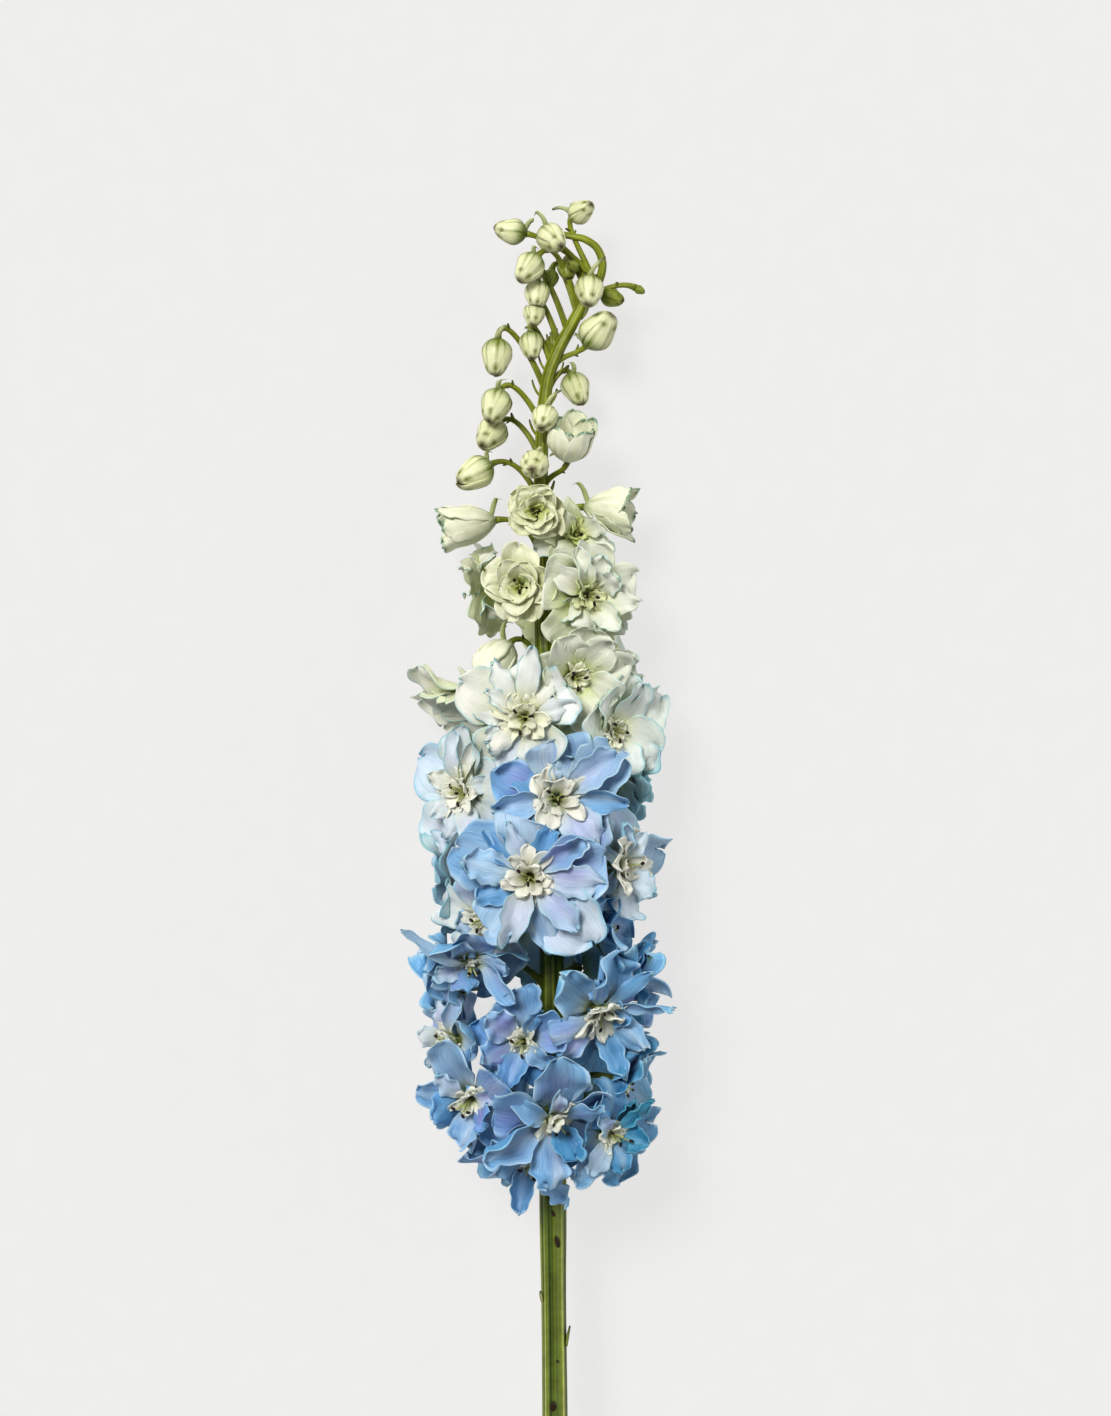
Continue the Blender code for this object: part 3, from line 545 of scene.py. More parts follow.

# %% [markdown]
# ## The stem
#
# The stem is a tube along a smooth curve through the points of the list. A delphinium's stem has soft ribs,
# so its radius rises and falls a few times round it. Their crests are painted paler, a painted highlight, and
# their grooves darker, a painted shade. The young tip is paler in its own colour.


# %% Smooth lines, rises and hills
def rise(value, start, end):
    """0 up to start, 1 from end, and a straight rise between them."""
    return np.clip((value - start) / (end - start), 0, 1)


def hill(value, middle, width):
    """A bell curve, e to the power of minus the square of (value - middle) / width."""
    return np.exp(-(((value - middle) / width) ** 2))


def smooth_line(knots, steps):
    """A Catmull-Rom curve: between two knots, a cubic whose slopes follow the knots beside them."""
    padded = np.vstack([2 * knots[0] - knots[1], knots, 2 * knots[-1] - knots[-2]])
    before, start, end, after = padded[:-3], padded[1:-2], padded[2:-1], padded[3:]
    share = (np.arange(steps) / steps)[None, :, None]
    cubic = (
        start[:, None]
        + 0.5 * share * (end - before)[:, None]
        + share**2 * (before - 2.5 * start + 2 * end - 0.5 * after)[:, None]
        + share**3 * (1.5 * (start - end) + 0.5 * (after - before))[:, None]
    )
    return np.vstack([cubic.reshape(-1, knots.shape[1]), knots[-1:]])


def bezier(start, leave, arrive, end, steps):
    """A cubic Bezier curve with two handles. steps is a number of even steps, or the shares to stop at."""
    share = (np.linspace(0, 1, steps + 1) if isinstance(steps, int) else steps)[:, None]
    rest = 1 - share
    return rest**3 * start + 3 * rest**2 * share * leave + 3 * rest * share**2 * arrive + share**3 * end


def blend_stops(value, places, rows):
    """Reads each column of rows between places. It gives a colour that changes along the spike."""
    rows = np.asarray(rows, float)
    return np.stack([np.interp(value, places, column) for column in rows.T], -1)


def mixed(tint, other, share):
    """A grid of colours moved towards another colour by a grid of shares."""
    return tint + (other - tint) * np.clip(share, 0, 1)[..., None]


# %% Make the stem
STEM_PLACES = [-0.24, -0.10, 0.06, 0.14, 0.24]
STEM_COLOURS = [
    (0.22, 0.28, 0.06),
    (0.19, 0.25, 0.04),
    (0.19, 0.24, 0.02),
    (0.29, 0.34, 0.03),
    (0.38, 0.43, 0.05),
]
# the grooves between the ribs are painted darker, a painted shade, and their crests lighter, a painted
# highlight
RIB_PAINTED_SHADE = np.array([0.45, 0.55, 0.35])
RIB_PAINTED_HIGHLIGHT = np.array([2.8, 2.3, 3.6])
# shares of the radius: the nine ribs, and four slow swellings
RIB_HEIGHT, SWELLING = 0.055, 0.03
STEM_SIDES = 40
CUT_END, LAST_RING = 0.94, 0.6

line = smooth_line(STEM_LINE, 9)
around = 2 * np.pi * np.arange(STEM_SIDES) / STEM_SIDES
distance = np.cumsum(np.linalg.norm(np.diff(line[:, :3], axis=0, prepend=line[:1, :3]), axis=1))
winding = distance[:, None]
ribs = RIB_HEIGHT * np.sin(9 * around + 6 * winding) + SWELLING * np.sin(4 * around - 25 * winding)
radius = line[:, 3:] * (1 + ribs * np.clip(line[:, 3:] / (3 * MM), 0.3, 1))
radius[0] *= CUT_END
radius[-1] *= LAST_RING
ridge = (ribs / (RIB_HEIGHT + SWELLING) + 0.4 * np.sin(17 * around - 9 * winding))[..., None]
ridge = ridge * np.interp(line[:, 1], [-0.08, 0.16], [1.0, 0.4])[:, None, None]
tint = blend_stops(line[:, 1], STEM_PLACES, STEM_COLOURS)[:, None]
# painted highlight on the rib crests and painted shade in the grooves, along the ribs and a finer streak
# pattern
crest_highlight, groove_shade = np.clip(ridge, 0, 1) ** 2, np.clip(-ridge, 0, 1)
tint = tint * (1 + crest_highlight * (RIB_PAINTED_HIGHLIGHT - 1)) * (1 - groove_shade * (1 - RIB_PAINTED_SHADE))
stem_skin = Skin()
stem_skin.add_limb(line[:, :3], radius, tint)
print("stem:", stem_skin.count, "points,", round(distance[-1] / MM), "mm long")

# %% [markdown]
# ## Stalks and bracts
#
# Each bloom's stalk leaves the stem at a narrow angle, swings outwards and meets the back of its bloom,
# like a swan's neck. A Bezier curve draws that from two points and two directions. Its foot is thick and
# its neck flares where it holds the bloom. A bud's stalk has a slim bract at its foot and two tiny ones
# further up. The same small leaf, laid flat on the bare stem, makes the scars, the pale scale and the green
# stub there.


# %% How stalks and bracts grow
LEAF_TIP = np.array([0.05, 0.06, 0.02])
LEAF_THICKNESS = 0.5 * MM
# the bract at a stalk's foot: length, width, and curl in radians
BRACT = (7 * MM, 1.8 * MM, 0.8)
# the small ones: shortest and longest, then width and curl
SMALL_BRACT_LENGTHS = (2.2 * MM, 3.4 * MM)
SMALL_BRACT = (1.3 * MM, 1.3)
# places along the spike: of the last bud with a bract, in millimetres, and of the last stalk's foot
LAST_BRACT = 210
LAST_STALK = 211 * MM


def stalk_line(bloom, steps):
    """The stalk's path, which starts in the stem's middle below the bloom and ends behind its throat."""
    face = bloom.axes[:, 2]
    beside, _ = stem_at(bloom.throat[1])
    reach = np.linalg.norm(bloom.throat - beside)
    drop = 0.6 * reach + 5 * MM if bloom.is_bud else 0.35 * reach + 2.5 * MM
    foot, _ = stem_at(min(bloom.throat[1] - drop, LAST_STALK))
    outwards = (bloom.throat - foot) * [1, 0, 1]
    outwards /= np.linalg.norm(outwards)
    end = bloom.throat + 0.2 * MM * face
    leave = foot + 0.2 * reach * outwards + [0, 0.75 * drop, 0]
    arrive = end - (0.45 * reach + 1.5 * MM) * face
    return bezier(foot, leave, arrive, end, steps)


def small_leaf(skin, foot, direction, upward, length, width, curl, colour):
    """A slim leaf: a midrib that bends upwards evenly, and a width that follows a half sine."""
    u, v = np.meshgrid(np.linspace(0, 1, 9), np.linspace(-1, 1, 3), indexing="ij")
    side = unit(np.cross(direction, upward))
    half = 0.5 * width * np.sin(np.pi * (0.12 + 0.85 * u)) ** 0.8
    ahead, above = length * np.sin(curl * u) / curl, length * (1 - np.cos(curl * u)) / curl
    middle = foot + ahead[..., None] * direction + above[..., None] * upward + (v * half)[..., None] * side
    middle += (0.35 * half * v**2)[..., None] * upward
    skin.add_blade(middle, LEAF_THICKNESS, mixed(colour, LEAF_TIP, rise(u, 0.7, 1)), u, v)


def add_bracts(skin, bloom, path, tint, draw):
    """One bract at the foot of a bud's stalk, but not at the very tip, and two on opposite sides of it."""
    if bloom.along < LAST_BRACT:
        outwards = unit((bloom.throat - path[0]) * [1, 0, 1])
        foot = path[0] + 0.8 * stem_at(path[0][1])[1] * outwards - [0, 1.5 * MM, 0]
        ahead = unit(0.75 * outwards + [0, 0.65, 0])
        small_leaf(skin, foot, ahead, unit([0, 1, 0] - ahead[1] * ahead), *BRACT, tint)
    for place, side in ((10, 1), (11, -1)):
        ahead = unit(path[place + 1] - path[place])
        out = unit(np.cross(ahead, bloom.axes[:, 2] + [0.02, 0.01, 0.3])) * side
        length = draw.uniform(*SMALL_BRACT_LENGTHS)
        small_leaf(skin, path[place], unit(ahead + 0.35 * out), out, length, *SMALL_BRACT, tint)


# %% Make the stalks, the bracts and the marks on the stem
STALK_PLACES = [-0.10, 0.05, 0.13, 0.22]
STALK_COLOURS = [(0.16, 0.20, 0.02), (0.23, 0.28, 0.04), (0.29, 0.33, 0.035), (0.36, 0.40, 0.045)]
SCAR = np.array([0.07, 0.04, 0.015])
PALE_SCALE = np.array([0.50, 0.48, 0.26])
GREEN_STUB = np.array([0.30, 0.34, 0.07])
# share of the radius to the right, place along the stem, lean to the right, length and width, colour
STEM_MARKS = (
    (0.40, -126.5, -0.35, 4.4, 1.7, SCAR),
    (0.10, -115.8, -0.40, 2.4, 1.3, SCAR),
    (-0.20, -183.5, 0.20, 3.6, 2.2, SCAR),
    (0.25, -166.8, 0.00, 1.1, 0.9, SCAR),
    (-0.94, -146.0, -0.15, 4.0, 1.8, PALE_SCALE),
    (0.97, -161.5, 0.05, 7.4, 2.0, GREEN_STUB),
)
MARK_CURL = 0.35
STALK_SIDES = 12
# a stalk's radius at its foot, how much it thins along the stalk, and how much its neck flares
STALK_FOOT, STALK_THINS, STALK_FLARES = 1.45 * MM, 0.5 * MM, 0.75 * MM
# a bud's stalk is this share as thick
BUD_STALK = 0.8

draw = np.random.default_rng(7)
for bloom in blooms.values():
    path = stalk_line(bloom, 16)
    share = np.linspace(0, 1, len(path))
    scale = BUD_STALK if bloom.is_bud else 1.0
    thick = (STALK_FOOT - STALK_THINS * share + STALK_FLARES * share**10) * scale
    around = 2 * np.pi * np.arange(STALK_SIDES) / STALK_SIDES
    wobble = 1 + 0.06 * np.sin(5 * around + 9 * share[:, None])
    tint = blend_stops(bloom.throat[1], STALK_PLACES, STALK_COLOURS)
    stem_skin.add_limb(path, thick[:, None] * wobble, tint * draw.uniform(0.9, 1.15))
    if bloom.is_bud:
        add_bracts(stem_skin, bloom, path, tint, draw)
for side, along, lean, length, width, shade in STEM_MARKS:
    centre, radius_here = stem_at(along * MM)
    outwards = np.array([side, 0, math.sqrt(1 - side**2)])
    ahead = unit(np.array([lean, 1.0, 0]) - lean * side * outwards)
    foot = centre + radius_here * outwards
    small_leaf(stem_skin, foot, ahead, outwards, length * MM, width * MM, MARK_CURL, shade)
print("green plant:", stem_skin.count, "points")

# %% [markdown]
# ## Buds
#
# A bud is a closed floret: five sepals folded over each other round an egg. Each sepal is a strip of the
# egg that is a little wider than a fifth of it, with one edge over its neighbour and the other under. Green
# veins run up from the base, and the tips turn brown-green. Behind it, a spur bends back and to one side.


# %% How a bud is folded
BUD_WHITE = np.array([0.88, 0.89, 0.61])
BUD_GREEN = np.array([0.21, 0.28, 0.02])
YOUNG_GREEN = np.array([0.36, 0.41, 0.09])
BROWN_TIP = np.array([0.13, 0.11, 0.02])
# shares of a bud's size, and the core's share of its radius
BUD_LENGTH, BUD_RADIUS, CORE_SHARE = 1.05, 0.405, 0.89
STRIP_HALF = math.radians(47)
STRIP_THICKNESS = 0.35 * MM
# a tight bud is no more open than this
TIGHT_STAGE = 0.2


def egg(share):
    """How wide a bud is at a share of its length: round below, narrower above."""
    return np.sqrt(np.clip(1 - (2 * share - 1) ** 2, 0, 1)) * (1 + 0.12 * np.sin(2 * np.pi * share))


print("a bud is widest at", np.argmax(egg(np.linspace(0, 1, 101))), "hundredths of its length")


def add_bud(skin, bloom, young, draw, finish=0):
    """Five overlapping strips of an egg over a core, all in the bloom's room.

    A strip's azimuth runs over 47 degrees to each side of its middle. Its edge on one side is lifted and on
    the other sunk, so that the strips lie like roof tiles. A soft keel runs up the middle of each.
    """
    length, radius = BUD_LENGTH * bloom.size, BUD_RADIUS * bloom.size
    u, v = np.meshgrid(np.linspace(0.015, 0.985, 15), np.linspace(-1, 1, 9), indexing="ij")
    share = 0.5 - 0.5 * np.cos(np.pi * u)
    for number in range(5):
        bend, longer, shade, green = draw.uniform(-1, 1, 4)
        half = STRIP_HALF * (1 - 0.25 * rise(share, 0.8, 1))
        azimuth = 2 * math.pi * number / 5 + half * v + 0.25 * bend * share
        keel = 0.05 * hill(v, 0, 0.3) * (1 - share) + 0.02 * np.sin(9 * share + 3 * bend) * np.abs(v)
        lift = 0.045 * v * np.sin(np.pi * share) ** 0.5
        wide = radius * egg(share) * (0.95 + keel + lift)
        middle = [wide * np.cos(azimuth), wide * np.sin(azimuth), length * share * (1 + 0.03 * longer)]
        ground = YOUNG_GREEN if young else BUD_WHITE + 0.06 * shade
        vein = 0.8 * hill(v, 0, 0.12) * (1 - share) ** 0.8 + np.clip(1.45 - 3.3 * share, 0, 1)
        vein += 0.5 * rise(np.abs(v), 0.86, 1) * (1 - share)
        tint = mixed(ground, BUD_GREEN, 0.9 * (vein + 0.1 * green))
        spot = hill(share, 0.84 + 0.05 * bend, 0.07) * hill(v, 0, 0.3)
        tint = mixed(tint, BUD_GREEN, 1.4 * spot)
        tint = mixed(tint, BROWN_TIP, 0.9 * rise(share, 0.93, 1) + 0.8 * spot**3)
        skin.add_blade(np.stack(middle, -1), STRIP_THICKNESS, tint, u, v, finish, bloom)
    share = 0.5 - 0.5 * np.cos(np.pi * np.linspace(0.03, 0.97, 10))
    core = np.column_stack([0 * share, 0 * share, 0.03 * length + 0.93 * length * share])
    wide = CORE_SHARE * radius * egg(share)
    skin.add_limb(core, np.tile(wide[:, None], 12), BUD_GREEN, finish, bloom)


def add_spur(skin, bloom, colour, tip):
    """The spur: a horn that starts inside the bloom's back and bends towards the tip of the spike.

    A bud's spur starts further out, reaches further and bends to the side that its bud is turned away from.
    """
    if bloom.is_bud:
        size, reach, girth, start = 1.1 * bloom.size, 1.7, 0.62, np.array([0, 0.10, 0.10])
        sideways = -0.42 * math.copysign(1, bloom.turn)
    else:
        size, reach, girth, start = bloom.size, 1.0, 0.95, np.array([0, 0.045, 0.03])
        sideways = 0.0
    leave = start + np.array([0, 0.02, -0.10])
    arrive = start + np.array([0.2 * sideways, 0.24 * reach, -0.04])
    end = start + np.array([sideways, 0.36 * reach * (1 - abs(sideways)), -0.26 * reach])
    path = size * bezier(start, leave, arrive, end, 12)
    share = np.linspace(0, 1, len(path))
    thick = girth * MM * np.interp(share, [0, 0.4, 0.92, 1], [1.5, 1.5, 0.85, 0.5])
    skin.add_limb(path, np.tile(thick[:, None], 10), mixed(colour, tip, rise(share, 0.75, 1)), bloom=bloom)


# %% Make the tight buds, and finish the green plant
TIGHT_SPUR = np.array([0.58, 0.62, 0.34])
TIGHT_SPUR_TIP = np.array([0.10, 0.11, 0.03])
# the youngest buds are green, but for this one
PALE_TIP_BUD = "tip_bud_01"

made = []
for name in TIP_BUDS:
    draw = np.random.default_rng([31, int(name[-2:])])
    add_bud(stem_skin, blooms[name], name != PALE_TIP_BUD, draw, finish=1)
made.append(stem_skin.make("green_plant", [green_skin, bud_skin], ["stem"]))
for name in BUDS:
    bloom = blooms[name]
    if bloom.stage <= TIGHT_STAGE:
        skin = Skin()
        add_bud(skin, bloom, False, np.random.default_rng([32, int(name[-2:])]))
        add_spur(skin, bloom, TIGHT_SPUR, TIGHT_SPUR_TIP)
        made.append(skin.make(name + "_folded", [bud_skin], [name]))
print("pieces so far:", len(made))

# %% [markdown]
# ## The form of a petal
#
# One formula serves every petal. Its midrib starts in the throat and leans outwards by an angle that
# changes along it, so it is a curve that can open, arch back or curl at its tip. Across the midrib the
# petal has its outline, is cupped like a hand, leans to one side and is ruffled, most at the edge. The grid
# has two parameters: u runs from the throat to the tip and v from one edge to the other.


# %% Petals
class Petal:
    """The values of one petal, lengths in metres and angles in radians.

    petal_section and petal_grid say what each does. A petal that isn't given a bend, a wrap or a keel has
    none.
    """

    def __init__(self, **values):
        self.bend, self.wrap, self.keel = 0.0, 0.0, 0.0
        self.__dict__.update(values)


def petal_parameters(rows, columns):
    """The grid's u and v. Rows lie closer near the tip and columns closer near the edges."""
    u = np.sin(0.5 * np.pi * np.linspace(0, 1, rows)) ** 1.15
    v = np.linspace(-1, 1, columns)
    return np.meshgrid(u, 0.6 * v + 0.4 * np.sin(0.5 * np.pi * v), indexing="ij")


def petal_section(petal, u, v):
    """How far each point lies beside the midrib, above it, and short of where it would be along it.

    Half width: it widens from the claw as a smooth step, closes at the tip as 1 minus a power, and is
    scalloped by a fast sine. The section is an arc that cups the petal, with a keel, a soft V, along its
    middle. On it lie a ruffle, a sine along the edge that grows with |v| and u, and pleats, a faster sine
    across. The twist turns the section more towards the tip. The end of the petal is scalloped, too.
    """
    edge, side_of = np.abs(v), np.sign(v)
    widen = rise(u, 0, 0.5)
    widen = petal.claw + (1 - petal.claw) * widen * widen * (3 - 2 * widen)
    close = (1 - 0.985 * rise(u, 0.42, 1) ** petal.blunt) ** 0.55
    scallops = petal.scallop * u * np.sin(petal.teeth * u + 3 * side_of + 2 * petal.phase)
    half = 0.5 * petal.width * widen * close * (1 + scallops)
    fold = 2 * petal.cup + 1e-4
    side, lift = half * np.sin(fold * v) / fold, half * (1 - np.cos(fold * v)) / fold
    keel = petal.keel * u * (np.sqrt(v**2 + 0.015) - 0.12)
    ruffle = edge**1.6 * u * np.sin(2 * np.pi * petal.waves * u + petal.phase + 1.3 * side_of)
    ruffle += 0.7 * u**4 * np.cos(1.6 * math.pi * v + petal.phase)
    pleats = petal.pleat * np.sin(3.4 * math.pi * v + 2 * petal.phase) * u * (1.2 - u)
    lift = lift + petal.width * (keel + petal.ruffle * ruffle + pleats)
    turn = petal.twist * u
    side, lift = side * np.cos(turn) - lift * np.sin(turn), side * np.sin(turn) + lift * np.cos(turn)
    end_scallops = np.abs(np.sin(0.15 * petal.teeth * math.pi * v + petal.phase)) * rise(u, 0.6, 1) ** 2
    return side, lift, 0.5 * petal.scallop * petal.length * end_scallops


def petal_grid(petal, rows, columns):
    """A petal's middle surface in its floret's axes, with u and v.

    Midrib: its angle from the floret's axis goes from root to tip, plus curl times the square of how far u
    is past 0.62. Adding up steps along that angle gives the distance out and up. The section lies square to
    it.
    bend swings the midrib round the floret's axis, and wrap lays the width round that axis in place of flat.
    """
    u, v = petal_parameters(rows, columns)
    line = u[:, 0]
    angle = petal.root + (petal.tip - petal.root) * line + petal.curl * rise(line, 0.62, 1) ** 2
    step = np.diff(line, prepend=0) * petal.length
    halfway = 0.5 * (angle + np.roll(angle, 1))
    outwards = petal.start + np.cumsum(step * np.sin(halfway))
    upwards = petal.height + np.cumsum(step * np.cos(halfway))
    side, lift, short = petal_section(petal, u, v)
    angle, outwards, upwards = angle[:, None], outwards[:, None], upwards[:, None]
    radial = outwards - lift * np.cos(angle) - short * np.sin(angle)
    height = upwards + lift * np.sin(angle) - short * np.cos(angle)
    azimuth = petal.azimuth + petal.bend * u**2 + petal.wrap * side / np.maximum(outwards, 1 * MM)
    flat = (1 - petal.wrap) * side
    x = radial * np.cos(azimuth) - flat * np.sin(azimuth)
    y = radial * np.sin(azimuth) + flat * np.cos(azimuth)
    return np.stack([x, y, height], -1), u, v


def draped_grid(petal, bloom, tip, arch, level, rows, columns):
    """A petal whose tip is given by its place from the throat, in its floret's axes, with u and v.

    Midrib: a Bezier curve that leaves the throat outwards and somewhat along the floret's face, and comes
    to the tip from above by the arch. Past 0.6 it curls up by a square. The section is square to the midrib.
    level lifts the root, so that the petals laid later lie over the others.
    """
    face = bloom.axes[:, 2]
    outwards = unit(tip - (tip @ face) * face)
    root = 0.045 * bloom.size * outwards + level * face
    chord = tip - root
    petal.length = np.linalg.norm(chord)
    above = unit(face + [0, 0, 0.8])
    u, v = petal_parameters(rows, columns)
    line = u[:, 0]
    leave = root + 0.36 * petal.length * unit(0.6 * face + outwards)
    midrib = bezier(root, leave, tip - 0.36 * chord + arch * above, tip, line)
    midrib += (0.3 * petal.curl * petal.length * rise(line, 0.6, 1) ** 2)[:, None] * above
    ahead = unit(np.gradient(midrib, axis=0))
    beside = unit(np.cross(above, chord))
    normal = unit(np.cross(ahead, beside))
    side, lift, short = (part[..., None] for part in petal_section(petal, u, v))
    grid = midrib[:, None] + side * beside + lift * normal[:, None] - short * ahead[:, None]
    return grid @ bloom.axes, u, v


print("a petal's grid of 26 by 17 points makes", len(blade_triangles(26, 17)), "triangles")

# %% [markdown]
# ## The colours of a petal
#
# The spike fades from cream and green at the top, through white, to sky blue and lilac at the bottom. Three
# lists give the colour of a petal's blade, of its base and of its thin rim for tones from 0 to 1.25, and each
# floret has its own tone. On blue petals the rim is painted lighter, a painted highlight; on white ones it is
# a darker teal-blue, their own colour. A petal mixes them by u and v, with a little chance, and some are
# flushed with lilac. Blue petals also get a white painted sheen, florets turned to the right a teal painted
# shade, each throat a green that is partly its own colour and partly painted shade, and cream petals a green
# base that reaches further, partly as painted shade. A petal's back is deeper, with a green spot below the
# tip.

# %% Petal colours
TONE_STOPS = [0.0, 0.15, 0.30, 0.45, 0.58, 0.75, 1.0, 1.25]
LIMB = [
    (0.94, 0.95, 0.74),
    (0.95, 0.96, 0.79),
    (0.95, 0.95, 0.84),
    (0.94, 0.95, 0.89),
    (0.74, 0.83, 0.91),
    (0.39, 0.64, 0.88),
    (0.14, 0.42, 0.74),
    (0.02, 0.32, 0.40),
]
BASE = [
    (0.40, 0.50, 0.03),
    (0.50, 0.59, 0.07),
    (0.62, 0.70, 0.17),
    (0.80, 0.82, 0.44),
    (0.88, 0.89, 0.76),
    (0.82, 0.87, 0.86),
    (0.40, 0.62, 0.82),
    (0.10, 0.40, 0.62),
]
# the rim: lighter than the blade on blue petals, a painted highlight, and a darker teal-blue on white ones,
# their own colour
RIM_COLOUR_AND_HIGHLIGHT = [
    (0.94, 0.95, 0.74),
    (0.95, 0.96, 0.80),
    (0.86, 0.93, 0.86),
    (0.52, 0.78, 0.82),
    (0.38, 0.70, 0.84),
    (0.78, 0.90, 0.97),
    (0.46, 0.74, 0.93),
    (0.10, 0.52, 0.60),
]
LILAC = np.array([0.44, 0.42, 0.82])
DEEP = np.array([0.03, 0.21, 0.44])
# teal for a painted shade, laid on florets turned to the right, away from the key light
TEAL_PAINTED_SHADE = np.array([0.05, 0.34, 0.40])
# white for a painted sheen, a painted highlight across blue petals
PAINTED_SHEEN_WHITE = np.array([0.88, 0.91, 0.94])
# green: the real spot on a petal's back and a spur's tip, and in the throat partly the petal's own green and
# partly painted shade
GREEN_SPOT_AND_THROAT_SHADE = np.array([0.25, 0.33, 0.03])
# what a petal's colour is multiplied by on its back
BLUE_BACK = np.array([0.72, 0.91, 0.96])
CREAM_BACK = np.array([0.95, 0.97, 0.84])


def petal_colours(tone, u, v, draw, teal_painted_shade=0.0, lilac=None):
    """Front and back colours of a petal's grid. blue is 0 for a cream petal and 1 for a blue one."""
    bright, flush, spot, pale, shift = draw.uniform(0, 1, 5)
    lilac = 0.7 * flush**1.5 if lilac is None else lilac
    tone = tone + (0.22 if tone > 0.66 else 0.10) * (shift - 0.5)
    limb, base, rim_colour_and_highlight = (blend_stops(tone, TONE_STOPS, rows) for rows in (LIMB, BASE, RIM_COLOUR_AND_HIGHLIGHT))
    blue = float(np.interp(tone, [0.5, 0.7], [0, 1]))
    # the base colour reaches further on cream petals: partly their own green and partly painted shade, the
    # yellow-green of their shaded parts
    reach = np.interp(tone, [0.0, 0.2, 0.3, 0.6], [0.46, 0.40, 0.28, 0.26]) + 0.06 * pale
    tint = mixed(limb, base, hill(u, 0, reach))
    deep = hill(u, 0.6, 0.26) * hill(v, shift - 0.5, 0.5)
    tint = mixed(tint, DEEP, 0.7 * blue * (tone > 0.7) * spot * deep)
    middle = hill(u, 0.5, 0.3) * hill(v, 0.8 * (spot - 0.5), math.sqrt(0.6))
    tint = mixed(tint, LILAC, lilac * (0.15 + 0.75 * blue) * (tone > 0.4) * middle)
    # a white patch across blue petals: a painted sheen, that is a painted highlight
    sheen = hill(v, 0.9 * (pale - 0.5), 0.3) * (0.25 + 0.5 * u)
    tint = mixed(tint, PAINTED_SHEEN_WHITE, 0.85 * blue * pale**1.5 * sheen)
    # teal on florets turned to the right: a painted shade
    tint = mixed(tint, TEAL_PAINTED_SHADE, teal_painted_shade * (0.25 + 0.75 * u))
    # the green in the throat: partly the petal's own green and partly painted shade in the throat
    throat = np.interp(tone, [0.15, 0.35], [0.22, 0.11])
    tint = mixed(tint, GREEN_SPOT_AND_THROAT_SHADE, 0.8 * hill(u, 0, throat))
    # the rim and the very tip: lighter on blue petals, a painted highlight, and teal-blue on white ones,
    # their own colour
    edge = rise(np.abs(v), 0.84, 1) * rise(u, 0.16, 0.56)
    tint = mixed(tint, rim_colour_and_highlight, 0.8 * np.maximum(edge, rise(u, 0.96, 1)))
    tint = tint * (0.94 + 0.10 * bright)
    back = tint * (BLUE_BACK * blue + CREAM_BACK * (1 - blue))
    dot = 0.9 * spot * hill(u, 0.82, 0.07) * hill(v, 0, 0.2)
    vein = 0.4 * hill(v, 0, 0.12) * (1 - blue) * (1 - u)
    back = mixed(back, GREEN_SPOT_AND_THROAT_SHADE, np.maximum(dot, vein))
    return np.clip(tint, 0, 1), np.clip(back, 0, 1)


print("colours are given for the tones", TONE_STOPS)
